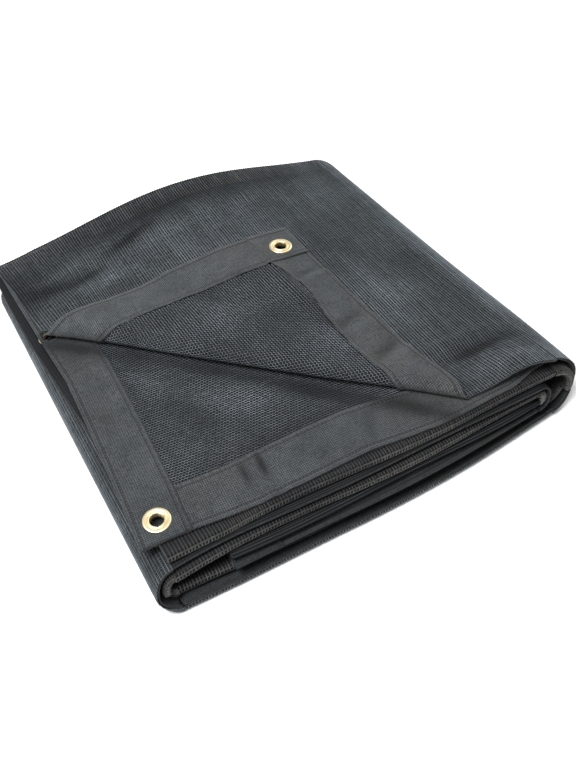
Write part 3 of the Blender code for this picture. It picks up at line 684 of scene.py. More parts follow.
class Look:
    """A material and its shader nodes."""

    def __init__(self, name, **values):
        self.material = bpy.data.materials.new(name)
        self.material.use_nodes = True
        self.tree = self.material.node_tree
        self.shader = self.tree.nodes["Principled BSDF"]
        for key, value in values.items():
            self.shader.inputs[key.replace("_", " ")].default_value = value

    def node(self, kind, inputs=None, **settings):
        """A shader node with its settings, and its inputs given as values or as other nodes' outputs."""
        made = self.tree.nodes.new(kind)
        for key, value in settings.items():
            setattr(made, key, value)
        for key, value in (inputs or {}).items():
            if isinstance(value, bpy.types.NodeSocket):
                self.tree.links.new(value, made.inputs[key])
            else:
                made.inputs[key].default_value = value
        return made.outputs

    def maths(self, operation, first, second=0.0):
        return self.node("ShaderNodeMath", {0: first, 1: second}, operation=operation)[0]

    def ranged(self, value, low, high, to_low=0.0, to_high=1.0):
        return self.node("ShaderNodeMapRange", {
            "Value": value, "From Min": low, "From Max": high, "To Min": to_low, "To Max": to_high,
        })[0]

    def blend(self, factor, first, second, blend_type="MIX"):
        """A mix of two colours, each three numbers or another node's output."""
        inputs = {0: factor}
        for key, value in ((6, first), (7, second)):
            inputs[key] = (*value, 1.0) if isinstance(value, tuple) else value
        return self.node("ShaderNodeMix", inputs, data_type="RGBA", blend_type=blend_type)[2]

    def flat_axes(self):
        """The flat cloth's coordinates in metres: along the roll, and across it."""
        parts = self.node("ShaderNodeSeparateXYZ", {0: self.node("ShaderNodeUVMap", uv_map="flat")["UV"]})
        return parts["X"], parts["Y"]

    def ridges(self, value, pitch):
        """A wave from 0 to 1 with a pitch in metres along a coordinate."""
        turned = self.maths("MULTIPLY", value, 2 * math.pi / pitch)
        return self.ranged(self.maths("SINE", turned), -1.0, 1.0)

    def grain(self, scale, detail=3.0, stretch=(1.0, 1.0, 1.0)):
        """Noise in the object's own metres."""
        own = self.node("ShaderNodeTexCoord")["Object"]
        stretched = self.node("ShaderNodeMapping", {"Vector": own, "Scale": stretch})[0]
        return self.node("ShaderNodeTexNoise", {"Vector": stretched, "Scale": scale, "Detail": detail})["Fac"]

    def line_at(self, value, middle, half_width):
        """1 on a line at a coordinate, 0 away from it."""
        away = self.maths("ABSOLUTE", self.maths("SUBTRACT", value, middle))
        return self.ranged(away, LINE_CORE * half_width, half_width, 1.0, 0.0)

    def in_shade(self, base):
        """The colour times the shade attribute: painted shade and light, with a random tone on some threads.
        """
        shade_and_tone = self.node("ShaderNodeVertexColor", layer_name="shade")["Color"]
        return self.blend(1.0, base, shade_and_tone, "MULTIPLY")

    def done(self, base, roughness=None, height=None, distance=0.0, strength=1.0):
        """The material, with its colour, roughness and bump linked to its shader."""
        self.tree.links.new(base, self.shader.inputs["Base Color"])
        if roughness is not None:
            self.tree.links.new(roughness, self.shader.inputs["Roughness"])
        if height is not None:
            bump = self.node("ShaderNodeBump", {"Height": height, "Distance": distance, "Strength": strength})
            self.tree.links.new(bump[0], self.shader.inputs["Normal"])
        return self.material


def ground_material(name, across_pitch, along_pitch, hole_shade, thread):
    """The knit between its raised threads: fine cross threads over near-black gaps, painted shade for its
    holes.
    """
    look = Look(name, Roughness=0.75, Specular_IOR_Level=0.15)
    along, across = look.flat_axes()
    rungs = look.ridges(across, across_pitch)
    lattice = look.maths("MULTIPLY", rungs, look.ridges(along, along_pitch))
    worn = look.ranged(look.grain(22.0), 0.35, 0.7, 0.6, 1.15)
    amount = look.maths("MULTIPLY", look.ranged(rungs, 0.5, 0.95, 0.0, 0.8), worn)
    return look.done(look.in_shade(look.blend(amount, hole_shade, thread)), None, lattice, 0.5 * MM, 0.8)


def thread_material(name, shade, light):
    """Polyester thread: fine filaments, with a soft gloss and faded patches."""
    look = Look(name, Specular_IOR_Level=0.35)
    patches = look.ranged(look.grain(14.0, 4.0), 0.32, 0.68)
    strands = look.grain(1400.0, 2.0)
    fine = look.blend(look.ranged(strands, 0.4, 0.75, 0.0, 0.5), look.blend(patches, shade, light), light)
    return look.done(look.in_shade(fine), look.ranged(strands, 0.2, 0.8, 0.4, 0.6), strands, 0.12 * MM, 0.7)


def tape_material(name):
    """Woven hem tape: ribs across the strip, finer yarns along it, grooves with painted shade under its
    stitch lines, and a warm bloom here and there."""
    look = Look(name, Sheen_Weight=0.08, Specular_IOR_Level=0.2)
    along, across = look.flat_axes()
    yarns = look.maths("MULTIPLY", look.ridges(across, TAPE_YARN), YARN_SHARE)
    weave = look.maths("ADD", look.ridges(along, TAPE_RIB), yarns)
    slub = look.ranged(look.grain(480.0), 0.3, 0.7, 0.4, 1.5)
    worn = look.ranged(look.grain(55.0), 0.3, 0.7, 0.75, 1.2)
    amount = look.maths("MULTIPLY", look.maths("MULTIPLY", look.ranged(weave, 0.1, 1.5), slub), worn)
    cool = look.blend(amount, (0.010, 0.012, 0.013), (0.082, 0.090, 0.096))
    warm = look.blend(amount, (0.016, 0.014, 0.012), (0.100, 0.092, 0.082))
    cloth = look.blend(look.ranged(look.grain(9.0, 2.0), 0.5, 0.85, 0.0, 0.7), cool, warm)
    first, second = (look.line_at(across, inset, GROOVE_HALF_WIDTH) for inset in STITCH_LINES)
    grooves = look.maths("MAXIMUM", first, second)
    # Painted shade in the grooves under the stitch lines
    groove_shaded = look.blend(look.maths("MULTIPLY", grooves, GROOVE_PAINTED_SHADE), cloth, (0.008, 0.008, 0.009))
    fuzz = look.grain(2200.0, 2.0)
    raised = look.maths("ADD", weave, look.maths("MULTIPLY", fuzz, FUZZ_SHARE))
    height = look.maths("SUBTRACT", raised, look.maths("MULTIPLY", grooves, GROOVE_DEPTH))
    return look.done(look.in_shade(groove_shaded), look.ranged(fuzz, 0.2, 0.8, 0.65, 0.9), height, 0.25 * MM, 0.8)


def stitch_material(name):
    """Twisted sewing thread, near black."""
    look = Look(name, Sheen_Weight=0.2)
    twist = look.grain(1800.0, 2.0)
    base = look.blend(twist, (0.006, 0.006, 0.008), (0.045, 0.046, 0.052))
    return look.done(base, look.ranged(twist, 0.2, 0.8, 0.4, 0.6), twist, 0.1 * MM, 0.6)


def brass_material(name):
    """Pressed brass plate: bright, with light scuffs and a little tarnish."""
    look = Look(name, Metallic=1.0)
    tarnish = look.ranged(look.grain(160.0, 4.0), 0.45, 0.75)
    base = look.blend(tarnish, (0.99, 0.85, 0.55), (0.90, 0.72, 0.41))
    scuffs = look.grain(900.0, 3.0, (1.0, 5.0, 1.0))
    return look.done(base, look.ranged(scuffs, 0.3, 0.75, 0.34, 0.46), scuffs, 0.01 * MM, 0.3)


def floor_material(name):
    look = Look(name, Roughness=0.9)
    tint = look.ranged(look.grain(3.0, 2.0), 0.3, 0.7)
    return look.done(look.blend(tint, (0.86, 0.86, 0.865), (0.89, 0.89, 0.89)))


# --- Eyelets ---

# Where the solid's grommets stand in the frame, the part of the cloth that each is on, how many tapes it goes
# through, and how far its nicks are turned
Eyelet = namedtuple("Eyelet", "name piece x y shares tapes nicks_turn")
EYELETS = table(
    Eyelet,
    ("grommet_turned_corner", PLY_1, 56.16, 71.27, (0.0, 0.10), 2, 0.6),
    ("grommet_front_corner", PLY_2, -224.8, -206.49, (0.12, 0.0), 2, 2.1),
    ("grommet_ply_3", PLY_3, -226.08, 83.51, (0.6, 0.8), 1, 1.2),
    ("grommet_ply_4", PLY_4, -223.08, 51.51, (0.7, 0.5), 1, 0.2),
)
EYELET_REACH = 16 * MM
EYELET_NEAREST = 4 * MM
EYELET_SEARCH = (3 * MM, 0.0, 60 / RUNS[0].end)  # spacing and shares of the top run
EYELET_ROWS = 24
CLEAR_OF_EYELET = 10 * MM
THREADS_CLEAR = CLEAR_OF_EYELET + 1 * MM
CLEAR_BELOW = 3 * MM

# A grommet's half section: a domed washer, the barrel's rolled end, the bore, and the flange on the other
# face. Each is measured out from the flange's or the bore's radius, and up from the tape or the cloth
GROMMET_STEPS = 112
HOLE_RADIUS, FLANGE_RADIUS, GROMMET_ROOM = 6.7, 13.5, 0.1  # in millimetres, like the tables
WASHER = ((-0.25, 0), (0, 0.3), (-0.15, 0.75), (-0.7, 1.1), (-1.6, 1.25), (-2.8, 1.2))
ROLLED_END = (
    (3.1, 0.95), (2.75, 0.8), (2.6, 1.05), (2.3, 1.5), (1.7, 1.75), (1.0, 1.7), (0.4, 1.3), (0.08, 0.6),
    (0, -0.4),
)
BORE_END = ((0, 0.6), (0.1, -0.2), (0.6, -0.8), (1.5, -1.05))
BACK_FLANGE = ((-1.2, -1.0), (-0.3, -0.7), (0, -0.3), (-0.25, 0))
NICKS = (0.0, 2.3, 4.4)  # small nicks round the rolled end, as angles
NICK_WIDTH = 0.12
NICK_DEPTH = 0.5 * MM
NICK_REACH = 2.7 * MM
NICK_FALL = 1.3 * MM


def eyelet_frame(eyelet):
    """Centre on the cloth and axis off its back face, where the solid's grommet stands."""
    rows = [(eyelet.piece, np.linspace(*eyelet.shares, EYELET_ROWS))]
    points = cloth_grid(rows, [(0, columns_on(0, *EYELET_SEARCH))])
    normal = normals_of(points).reshape(-1, 3)
    points = points.reshape(-1, 3)
    middle = np.array((eyelet.x, eyelet.y)) * MM - ORIGIN[:2]
    away = np.linalg.norm(points[:, :2] - middle, axis=1)
    near = away < max(EYELET_REACH, away.min() + EYELET_NEAREST)
    axis = -normal[near].sum(axis=0)
    axis /= np.linalg.norm(axis)
    centre = points[near].mean(axis=0)
    height = centre[2] - axis[:2].dot(middle - centre[:2]) / axis[2]
    return np.array((*middle, height)), axis


EYELET_FRAMES = {eyelet.name: eyelet_frame(eyelet) for eyelet in EYELETS}


def clear_of_eyelets(points, radius):
    clear = np.ones(points.shape[:-1], dtype=bool)
    for centre, axis in EYELET_FRAMES.values():
        off = points - centre
        above = off @ axis
        out = np.linalg.norm(off - above[..., None] * axis, axis=-1)
        clear &= (out > radius) | (np.abs(above) > CLEAR_BELOW + TAPE_OFF + TAPE_OVER_TAPE)
    return clear


def quads_clear_of_eyelets(points):
    """The quads of a grid of rows by columns, as indices, without those at an eyelet's hole."""
    index = np.arange(points.shape[0] * points.shape[1]).reshape(points.shape[:2])
    quads = np.stack((index[:-1, :-1], index[:-1, 1:], index[1:, 1:], index[1:, :-1]), axis=-1)
    return quads[clear_of_eyelets((points[:-1, :-1] + points[1:, 1:]) / 2, CLEAR_OF_EYELET)]


def grommet_outline(tapes):
    """Radius and height pairs of a grommet's half section."""
    over = (TAPE_OFF + TAPE / 2 + (tapes - 1) * TAPE_OVER_TAPE) / MM + GROMMET_ROOM
    under = -CLOTH / MM / 2 - GROMMET_ROOM
    bends = (
        (FLANGE_RADIUS, over, WASHER), (HOLE_RADIUS, over, ROLLED_END), (HOLE_RADIUS, under, BORE_END),
        (FLANGE_RADIUS, under, BACK_FLANGE),
    )
    return np.array([(radius + out, level + up) for radius, level, bend in bends for out, up in bend]) * MM


def make_grommet(eyelet, material):
    """A turned grommet with small nicks pressed into its rolled end."""
    centre, axis = EYELET_FRAMES[eyelet.name]
    section = grommet_outline(eyelet.tapes)
    angle = np.arange(GROMMET_STEPS) * 2 * math.pi / GROMMET_STEPS
    radius, height = (np.repeat(section[:, k:k + 1], GROMMET_STEPS, axis=1) for k in (0, 1))
    out, up = section.T
    rolled = (out < HOLE_RADIUS * MM + NICK_REACH) & (up > up.max() - NICK_FALL)
    for nick in NICKS:
        away = np.abs((angle - nick - eyelet.nicks_turn + math.pi) % (2 * math.pi) - math.pi)
        dip = rolled[:, None] * np.exp(-((away / NICK_WIDTH) ** 2)) * NICK_DEPTH
        radius += dip
        height -= dip
    points = np.stack((radius * np.cos(angle), radius * np.sin(angle), height), axis=-1).reshape(-1, 3)
    turn = np.array(Vector((0, 0, 1)).rotation_difference(Vector(axis)).to_matrix())
    index = np.arange(len(points)).reshape(len(section), GROMMET_STEPS)
    after = np.roll(index, -1, axis=0)
    faces = np.stack((index, after, np.roll(after, -1, axis=1), np.roll(index, -1, axis=1)), axis=-1)
    parts = [(points @ turn.T + centre, faces.reshape(-1, 4)[:, ::-1], None)]
    return make_piece("brass_" + eyelet.name, parts, material, eyelet.name)


# --- The cloth's ground ---

# Rows over a ply and over a fold, and the spacing of columns
FRONT_ROWS = 5  # the closer rows at a ply's front edge
FRONT_ROWS_SHARE = 0.06
FOLD_ROWS = 7
TOP_ROWS = 139
PLY_2_ROWS, PLY_2_SPACING = 90, 5 * MM
FOLDED_ROWS, FOLDED_SPACING = 24, 5.5 * MM
ROLL_ROWS = 22
LEG_SPACING = (0, 5 * MM, 14 * MM, 5 * MM, 22 * MM, 10 * MM, 26 * MM)  # by leg of the roll


def all_rows(count):
    """Rows over the whole width of the sheet, in its order, closer at each ply's front edge."""
    at_front = np.linspace(0, FRONT_ROWS_SHARE, FRONT_ROWS + 1)[:-1]
    shares = np.concatenate((at_front, np.linspace(FRONT_ROWS_SHARE, 1, count - FRONT_ROWS)))
    fold = np.linspace(0, 1, FOLD_ROWS + 1)[1:-1]
    return [row for piece in ALL_PLIES for row in in_order(piece, fold if piece in FOLDS else shares)]


def make_ground(outer, back):
    """The sheet itself, in four patches that meet: the top runs of plies 1 and 2, the folded plies between
    them, and the rest of the roll."""
    between = [row for row in all_rows(FOLDED_ROWS) if row[0] not in (PLY_1, PLY_2)]
    back_edge = np.ones(1)
    patches = (
        ([(PLY_1, np.linspace(0, 1, TOP_ROWS))], [(0, columns_on(0, RIB.pitch))]),
        ([(PLY_2, np.linspace(1, 0, PLY_2_ROWS))], [(0, columns_on(0, PLY_2_SPACING))]),
        ([(PLY_1, back_edge), *between, (PLY_2, back_edge)], [(0, columns_on(0, FOLDED_SPACING))]),
        (all_rows(ROLL_ROWS), [(leg, columns_on(leg, LEG_SPACING[leg])) for leg in range(1, LAST_LEG + 1)]),
    )
    parts, on_back = [], []
    for rows, columns in patches:
        points = cloth_grid(rows, columns)
        quads = quads_clear_of_eyelets(points)
        parts.append(shell(points, normals_of(points), CLOTH, shaded(rows, columns), quads))
        on_back.append(np.arange(len(parts[-1][1])) // len(quads) == 1)  # a shell's outer faces come first
    ground = make_piece("tarp_mesh", parts, outer, "mesh_sheet")
    ground.data.materials.append(back)
    ground.data.polygons.foreach_set("material_index", np.concatenate(on_back).astype(np.int32))
    return ground


# --- The knit's raised threads ---

RUNG_LEGS = (0, 1, 3)
RIB_PLACES = ((0, 1, TOP_ROWS), (1, 1, 100), (3, 1, 90), (2, 0.09, 16))  # leg, last share and rows
# The rows of the ribs round the folds, as shares of a ply or of a fold
BY_FRONT_FOLD, ROUND_FRONT_FOLD = np.linspace(0.06, 0.005, 5), np.linspace(0, 1, 8)
BEFORE_BACK_FOLD, AFTER_BACK_FOLD = np.array((0.95, 0.975, 0.99)), np.array((0.99, 0.96))
ROUND_BACK_FOLD = np.linspace(0, 1, 9)
CHAIN_ROW = 0.001


def varied(middle, spread, limits, size):
    return np.clip(UNEVEN.normal(middle, spread, size=size), *limits)


def knit(rows, columns):
    """A grid's points, normals, flat coordinates with tones, and where its threads show: clear of the
    eyelets, and not under the corner turned back over the top run."""
    points = cloth_grid(rows, columns)
    shows = clear_of_eyelets(points, THREADS_CLEAR)
    if is_top(rows, columns):
        shows &= fold_frame(*on_top(PLY_1, rows[0][1], columns[0][1]))[1] < HIDDEN_PAST_FOLD
    return points, normals_of(points), shaded(rows, columns), shows


def ribs(rows, columns, wider=1.0):
    """Threads across the sheet on its outer face, one on each column, none quite like the next."""
    points, normals, flat, shows = knit(rows, columns)
    length, count = points.shape[:2]
    drift = UNEVEN.normal(size=(length // RIB_DRIFT_ROWS + 3, count))
    steps = np.arange(length) / RIB_DRIFT_ROWS
    slow = np.stack([np.interp(steps, np.arange(len(drift)), rib) for rib in drift.T], axis=1)
    sideways = unit(np.gradient(points, axis=1)) * (slow * RIB_WANDER)[..., None]
    centres = points + normals * (CLOTH / 2 + RIB.stands) + sideways
    thicker = varied(1.0, RIB_SPREAD, RIB_LIMITS, count)[:, None, None]
    lighter = varied(1.0, RIB_TONE_SPREAD, RIB_LIMITS, count)
    flat[..., 2] *= lighter * (1 + RIB_DRIFT_TONE * slow + RIB_POINT_TONE * UNEVEN.normal(size=slow.shape))
    swap = (1, 0, 2)
    return tubes(centres.transpose(swap), normals.transpose(swap), RIB.half_width * wider * thicker,
                 RIB.half_height * thicker, shows.T, flat.transpose(swap))


def rungs(rows, columns):
    """Fine cross threads between the ribs, along the roll."""
    points, normals, flat, shows = knit(rows, columns)
    wander = RUNG_WANDER * UNEVEN.normal(size=points.shape[:2])[..., None]
    # Painted shade between the ribs, with a random tone
    flat[..., 2] *= varied(RUNG_PAINTED_SHADE, RUNG_TONE_SPREAD, RUNG_TONE_LIMITS, flat.shape[:2])
    centres = points + normals * (CLOTH / 2 + RUNG.stands) + unit(np.gradient(points, axis=0)) * wander
    return tubes(centres, normals, RUNG.half_width, RUNG.half_height, shows, flat)


def make_rungs(material):
    shares = np.linspace(RUNG_END, 1 - RUNG_END, int(PLY_DEPTH / RUNG.pitch))
    parts = [rungs([(PLY_1, shares)], [(leg, columns_on(leg, RIB.pitch))]) for leg in RUNG_LEGS]
    return make_piece("mesh_rungs", parts, material)


def make_ribs(material):
    parts = [ribs([(PLY_1, np.linspace(0, last, count))], [(leg, columns_on(leg, RIB.pitch))])
             for leg, last, count in RIB_PLACES]
    return make_piece("mesh_ribs", parts, material)


def make_fold_ribs(material):
    """Ribs round the front fold of plies 4 and 3, and round the back fold."""
    whole_roll = [(leg, columns_on(leg, RIB.pitch)) for leg in range(LAST_LEG)]
    front = [(PLY_4, BY_FRONT_FOLD), (FRONT_FOLD, ROUND_FRONT_FOLD), (PLY_3, BY_FRONT_FOLD[::-1])]
    back = [(PLY_1, BEFORE_BACK_FOLD), (BACK_FOLD, ROUND_BACK_FOLD), (PLY_4, AFTER_BACK_FOLD)]
    parts = [ribs(front, whole_roll, wider=FOLD_RIB_WIDER), ribs(back, whole_roll)]
    return make_piece("mesh_fold_ribs", parts, material)


def edge_threads(piece, share, leg):
    """Two threads that zigzag against each other, along the knit's edge or on a front fold's outer face."""
    on_fold = piece == FRONT_FOLD
    steps = np.array((-2, 0, 2) if on_fold else (0, 1, 2)) * CHAIN_ROW
    along = columns_on(leg, CHAIN.pitch)
    points = cloth_grid([(piece, share + steps)], [(leg, along)])
    normals = normals_of(points)[1]
    swing = np.where(np.arange(len(along)) % 2 == 0, CHAIN_SWING, -CHAIN_SWING)[:, None]
    stand = normals * (CLOTH / 2 + CHAIN.stands) if on_fold else 0.0
    parts = []
    for way in (1, -1):
        centres = points[1] + stand + unit(points[2] - points[0]) * swing * way
        flat = np.ones((1, len(along), 3))
        flat[..., 2] = varied(CHAIN_TONE, CHAIN_TONE_SPREAD, CHAIN_TONE_LIMITS, (1, len(along)))
        every = np.ones((1, len(along)), dtype=bool)
        parts.append(tubes(centres[None], normals[None], CHAIN.half_width, CHAIN.half_height, every, flat))
    return parts


def make_edge_threads(material):
    places = [(PLY_1, 0.0), (PLY_2, 0.0)] + [(FRONT_FOLD, share) for share in CHAINS_ON_FOLD]
    parts = []
    for piece, share in places:
        for leg in CHAINED_LEGS:
            parts += edge_threads(piece, share, leg)
    return make_piece("mesh_edge_threads", parts, material)


# How far before the fold line a net starts, and how far it goes under the side's tape as a share of the ply
NetPlace = namedtuple("NetPlace", "before_fold under_tape shades")
NET_PLACES = {
    PLY_1: NetPlace(16 * MM, 0.007, FLAP_SHADES),
    PLY_2: NetPlace(34 * MM, 0.002, PLY_2_SHADES),
}
NET_FROM_END = TAPE_WIDTH - 1 * MM


def make_net(name, piece, material):
    """Zigzag threads on the back face, each row the mirror of the next: on the turned corner, or on the part
    of ply 2 that it lays bare."""
    net = NET_PLACES[piece]
    along = columns_on(0, NET_STEP)
    rows = in_order(piece, np.linspace(NET_END, 1 - NET_END, int(PLY_DEPTH / NET.pitch)))
    shares, points = rows[0][1], cloth_grid(rows, [(0, along)])
    normals, size = normals_of(points), points.shape[:2]
    x, y = on_top(piece, shares, along)
    _, past, radius = fold_frame(x, y)
    bend = past / radius if piece == PLY_1 else np.zeros(size)
    bold = hump(bend, NET_BOLD_BEND)
    zigzag = (NET_SWING / PLY_DEPTH) * np.where(np.indices(size).sum(axis=0) % 2 == 0, 1.0, -1.0)
    swung = place(piece, station_at(0, along), shares[:, None] + zigzag * (1 + NET_WIDER_SWING * bold))
    bolder = (1 + NET_BOLDER * bold + NET_SPREAD * UNEVEN.normal(size=size))[..., None]
    loose = NET_LOOSE * UNEVEN.normal(size=points.shape)
    centres = swung - normals * (CLOTH / 2 + NET.stands) + loose
    tape = TAPE_SHARE * (side_wider(PLY_1, 0, along) if piece == PLY_1 else 1.0)
    off_tapes = (shares[:, None] >= tape - net.under_tape) & (along * leg_length(0) >= NET_FROM_END)
    kept = clear_of_eyelets(points, THREADS_CLEAR) & (past > -net.before_fold) & off_tapes
    # Painted shade from the net's table and round the turned corner's bend, times a random tone
    shade_and_tone = (1 - swell(x, y, net.shades)) * (1 - NET_BEND_SHADE * hump(bend, NET_SHADED_BEND))
    shade_and_tone = shade_and_tone * (1 + NET_TONE_SPREAD * UNEVEN.normal(size=size))
    flat = with_shade_and_tone(flat_lengths(rows, [(0, along)]), shade_and_tone, NET_SHADE_AND_TONE_LIMITS)
    parts = [tubes(centres, -normals, NET.half_width * bolder, NET.half_height * bolder, kept, flat)]
    return make_piece(name, parts, material)


# --- Hem tapes ---

Side = namedtuple("Side", "name piece creases open_edge spacing outer_edge")
SIDES = (
    Side("side_1", PLY_1, SIDE_1_CREASES, 2.0 * MM, 2.2 * MM, 0.0),
    Side("side_2", PLY_2, SIDE_2_CREASES, 0.6 * MM, 2.4 * MM, 4 * PLY_DEPTH),
)
# Where a side's tape shows wider along the top run, or below zero narrower where it buckles
SIDE_WIDER = {PLY_1: ((-0.2, Hill(118, 85)), (0.06, Hill(240, 60))), PLY_2: ((0.1, Hill(190, 180)),)}
LOWER_SPACING = 6 * MM
LAST_SPACING = 8 * MM
END_SPACING = 3.6 * MM
SIDE_ROWS, END_ROWS, INNER_ROWS = 17, 130, 20
SIDE_STOPS = 51.8 * MM  # before the roll's inner end, clear of its tape
END_OVER_SIDE = Change(TAPE_SHARE - 0.002, 0.010)  # the free end's tape stands up over the sides'


def side_wider(piece, leg, along):
    """The factor on a side's tape's width at places along a leg."""
    if leg:
        return 1.0
    return 1 + sum(wider * hump(along * RUNS[0].end, hill) for wider, hill in SIDE_WIDER[piece])


def pucker(along, share):
    """The tape's small puckers between its stitches, from 0 at a stitch line."""
    first, second = (2 * math.pi / length for length in PUCKER_WAVES)
    slow = np.sin(along * first) + PUCKER_SECOND * np.sin(along * second + share * PUCKER_TURNS)
    between = np.clip((share - STITCHED_PART.start) / STITCHED_PART.length, 0, 1)
    return PUCKER * slow * np.sin(math.pi * between)


def tape_height(along, share, doubled, creases, open_edge):
    """How far a tape's middle lies off the cloth's: share runs from its outer edge to its inner edge."""
    height = TAPE_OFF + doubled * TAPE_OVER_TAPE + pucker(along, share)
    for crease in creases:
        away = (along / MM - crease.at - crease.lean * share) / crease.half_width
        height = height + crease.height * MM * np.exp(-(away ** 2))
    wavy = 1 - OPEN_WAVE_SHARE + OPEN_WAVE_SHARE * np.sin(along * 2 * math.pi / OPEN_WAVE + OPEN_WAVE_TURN)
    return height + open_edge * wavy * np.clip((share - OPEN_EDGE.start) / OPEN_EDGE.length, 0, 1)


def tape_painted_shade(rows, columns):
    """The painted shade on the tapes: in creases and shadows on the top run, and deeper further down."""
    bands = []
    for piece, shares in rows:
        band = []
        for leg, along in columns:
            if leg == 0 and piece in TAPE_SHADES:
                band.append(1 - swell(*on_top(piece, shares, along), TAPE_SHADES[piece]))
            else:
                band.append(np.full((len(shares), len(along)), DEEP_TAPE_SHADE))
        bands.append(np.concatenate(band, axis=1))
    return np.concatenate(bands)


def make_tape(name, rows, columns, height, material, outer_edge=None):
    """A tape at a height off some rows and columns of the cloth. outer_edge is the flat cloth's coordinate at
    a side tape's outer edge; an end's tape has none and runs the other way."""
    points = cloth_grid(rows, columns, None if outer_edge is None else side_wider)
    flat = flat_lengths(rows, columns)
    middle = points - normals_of(points) * height[..., None]
    own = flat[..., ::-1] if outer_edge is None else np.abs(flat - (0.0, outer_edge))
    shaded_flat = with_shade_and_tone(own, tape_painted_shade(rows, columns), TAPE_SHADE_LIMITS)
    parts = [shell(middle, normals_of(middle), TAPE, shaded_flat, quads_clear_of_eyelets(points))]
    return make_piece("tape_" + name, parts, material, "hem_tape_" + name)


def end_doubled(rows):
    """How far the free end's tape stands up over the sides' tapes, 0 to 1, by row."""
    return np.concatenate([(1 - changed(shares, END_OVER_SIDE)) * (piece in (PLY_1, PLY_2))
                           for piece, shares in rows])[:, None]


def side_columns(fine):
    """Columns over the whole roll, fine on the top run."""
    last = 1 - SIDE_STOPS / leg_length(LAST_LEG)
    lower = [(leg, columns_on(leg, LOWER_SPACING)) for leg in range(1, LAST_LEG)]
    return [(0, columns_on(0, fine)), *lower, (LAST_LEG, columns_on(LAST_LEG, LAST_SPACING, 0, last))]


def make_tapes(material):
    tapes = []
    for side in SIDES:
        rows = in_order(side.piece, np.linspace(0, TAPE_SHARE, SIDE_ROWS))
        columns = side_columns(side.spacing)
        along, share = flat_lengths(rows, columns)[..., 0], rows[0][1][:, None] / TAPE_SHARE
        height = tape_height(along, share, 0.0, side.creases, side.open_edge)
        tapes.append(make_tape(side.name, rows, columns, height, material, side.outer_edge))
    rows, shares = all_rows(END_ROWS), columns_on(0, END_SPACING, 0, TAPE_WIDTH / leg_length(0))
    doubled, along = end_doubled(rows), flat_lengths(rows, [(0, shares)])[..., 1]
    open_edge = END_OPEN + CORNER_OPEN * doubled
    height = tape_height(along, shares * leg_length(0) / TAPE_WIDTH, doubled, END_CREASES, open_edge)
    tapes.append(make_tape("free_end", rows, [(0, shares)], height, material))
    shares = columns_on(LAST_LEG, LAST_SPACING, 1 - TAPE_WIDTH / leg_length(LAST_LEG), 1)
    height = np.array(TAPE_OFF)
    tapes.append(make_tape("inner_end", all_rows(INNER_ROWS), [(LAST_LEG, shares)], height, material))
    return tapes


# --- Stitches ---

BESIDE_SIDE_LINE = np.array((-0.002, 0.0, 0.002))  # rows beside a line of stitches, as shares of a ply
BESIDE_END_LINE = np.array((-1.0, 0.0, 1.0)) * MM
STITCHED_LEGS = (0, 1)


def dashes(points, normals, height):
    """Short arched threads, from the points sampled along a line of them."""
    points, normals = (values.reshape(-1, STITCH_SAMPLES, 3) for values in (points, normals))
    size = points.shape[:2]
    arch = np.sin(np.linspace(0, math.pi, STITCH_SAMPLES))
    height = np.broadcast_to(height, size[0] * size[1]).reshape(size) + STITCH_SUNK * (arch - 1)
    taper = (STITCH_TAPER + (1 - STITCH_TAPER) * arch)[None, :, None] * STITCH.half_width
    every, flat = np.ones(size, dtype=bool), np.zeros((*size, 2))
    return tubes(points + normals * height[..., None], normals, taper, taper, every, flat, sides=4)


def stitch_places(length):
    """Shares of a line's length at which its stitches are sampled."""
    starts = np.arange(0.5 * STITCH.pitch, length - STITCH.pitch, STITCH.pitch)
    return (starts[:, None] + np.linspace(0, STITCH_LENGTH, STITCH_SAMPLES)).ravel() / length


def side_stitches(side, leg, share, on_tape=True):
    """One line of stitches along a side's tape on one leg, on the tape or on the cloth's outer face."""
    columns = [(leg, stitch_places(leg_length(leg)))]
    rows = in_order(side.piece, share * TAPE_SHARE + BESIDE_SIDE_LINE)
    points = cloth_grid(rows, columns, side_wider if on_tape else None)
    normals, along = normals_of(points)[1], flat_lengths(rows, columns)[1, :, 0]
    if on_tape:
        height = tape_height(along, share, 0.0, side.creases, side.open_edge)
        return dashes(points[1], -normals, height + TAPE / 2)
    return dashes(points[1], normals, CLOTH / 2 + STITCH.stands)


def end_stitches(piece, inset):
    """One line of stitches along the free end's tape on one ply."""
    rows = in_order(piece, stitch_places(PLY_DEPTH))
    columns = [(0, (BESIDE_END_LINE + inset) / leg_length(0))]
    points, along = cloth_grid(rows, columns), flat_lengths(rows, columns)[:, 1, 1]
    height = tape_height(along, inset / TAPE_WIDTH, end_doubled(rows)[:, 0], END_CREASES, END_OPEN)
    return dashes(points[:, 1], -normals_of(points)[:, 1], height + TAPE / 2)


def make_stitches(material):
    parts = []
    edge = STITCH_INSET / TAPE_WIDTH
    for leg in STITCHED_LEGS:
        for side in SIDES:
            parts += [side_stitches(side, leg, share) for share in (edge, 1 - edge, 1 - edge * THIRD_LINE)]
        parts += [side_stitches(SIDES[0], leg, share, False) for share in (edge, 1 - edge)]
    for piece in (PLY_1, PLY_2, PLY_3, PLY_4):
        parts += [end_stitches(piece, inset) for inset in STITCH_LINES]
    return make_piece("hem_stitches", parts, material)


# --- The studio ---

# The photograph's camera: its angles in degrees (azimuth, below the horizon, roll), lens and place
CAMERA_ANGLES = (28.49, 45.31, -1.01)
CAMERA_LENS, CAMERA_SENSOR, CAMERA_NEAR = 43.607, 36, 0.01
CAMERA_AT = (-0.35966, -0.70747, 0.74581)
Light = namedtuple("Light", "name size energy position")
LIGHTS = table(Light, ("key", 1.1, 75, (-1.0, -0.5, 2.0)), ("fill", 1.8, 14, (1.6, 0.6, 1.4)))
FLOOR_HALF = 6
SKY_STRENGTH = 0.5


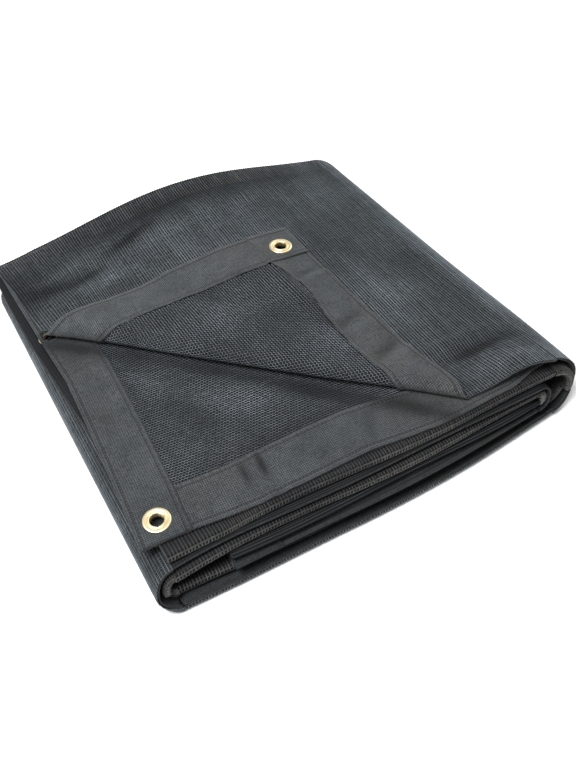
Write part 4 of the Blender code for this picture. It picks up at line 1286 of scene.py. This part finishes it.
def make_camera():
    azimuth, down, roll = (math.radians(angle) for angle in CAMERA_ANGLES)
    tilt = Matrix.Rotation(math.pi / 2 - down, 4, "X") @ Matrix.Rotation(roll, 4, "Z")
    camera = bpy.data.objects.new("camera", bpy.data.cameras.new("camera"))
    camera.data.lens = CAMERA_LENS
    camera.data.sensor_width = CAMERA_SENSOR
    camera.data.clip_start = CAMERA_NEAR
    camera.matrix_world = Matrix.Translation(CAMERA_AT) @ Matrix.Rotation(-azimuth, 4, "Z") @ tilt
    bpy.context.scene.collection.objects.link(camera)
    bpy.context.scene.camera = camera


def add_light(name, size, energy, position):
    """A round lamp that faces the part."""
    light = bpy.data.objects.new(name, bpy.data.lights.new(name, "AREA"))
    light.data.shape = "DISK"
    light.data.size = size
    light.data.energy = energy
    light.location = position
    light.rotation_euler = (-Vector(position)).to_track_quat("-Z", "Y").to_euler()
    bpy.context.scene.collection.objects.link(light)


def make_studio():
    corners = np.array(((-1, -1, 0), (1, -1, 0), (1, 1, 0), (-1, 1, 0))) * FLOOR_HALF
    floor = make_mesh("floor", corners - ORIGIN, np.array(((0, 1, 2, 3),)), floor_material("pale_floor"))
    for light in LIGHTS:
        add_light(*light)
    world = bpy.data.worlds.new("studio")
    world.use_nodes = True
    world.node_tree.nodes["Background"].inputs["Color"].default_value = (1, 1, 1, 1)
    world.node_tree.nodes["Background"].inputs["Strength"].default_value = SKY_STRENGTH
    bpy.context.scene.world = world
    bpy.context.scene.view_settings.view_transform = "Standard"


# --- All together ---


def main():
    # Near black for the knit's holes: painted shade seen through them
    painted_hole_shade = (0.003, 0.0035, 0.004)
    outer = ground_material("mesh_outer_face", RUNG.pitch, RIB.pitch, painted_hole_shade, (0.030, 0.033, 0.037))
    back = ground_material("mesh_back_face", NET.pitch, 2 * NET_STEP, painted_hole_shade, (0.020, 0.022, 0.025))
    rib_thread = thread_material("rib_thread", (0.062, 0.072, 0.080), (0.150, 0.173, 0.190))
    # The folds' and edges' thread: the rib thread darker and warmer, painting shade on them
    shaded_fold_thread = thread_material("shaded_fold_thread", (0.034, 0.034, 0.034), (0.094, 0.092, 0.088))
    net_thread = thread_material("net_thread", (0.070, 0.081, 0.090), (0.172, 0.195, 0.214))
    stitch = stitch_material("stitch_thread")
    tape = tape_material("tape_weave")
    brass = brass_material("polished_brass")

    ground = make_ground(outer, back)
    threads = [
        make_ribs(rib_thread),
        make_rungs(rib_thread),
        make_fold_ribs(shaded_fold_thread),
        make_edge_threads(shaded_fold_thread),
        make_net("mesh_net_flap", PLY_1, net_thread),
        make_net("mesh_net_ply_2", PLY_2, net_thread),
    ]
    tapes = make_tapes(tape)
    stitches = make_stitches(stitch)
    grommets = [make_grommet(eyelet, brass) for eyelet in EYELETS]
    make_camera()
    make_studio()


main()
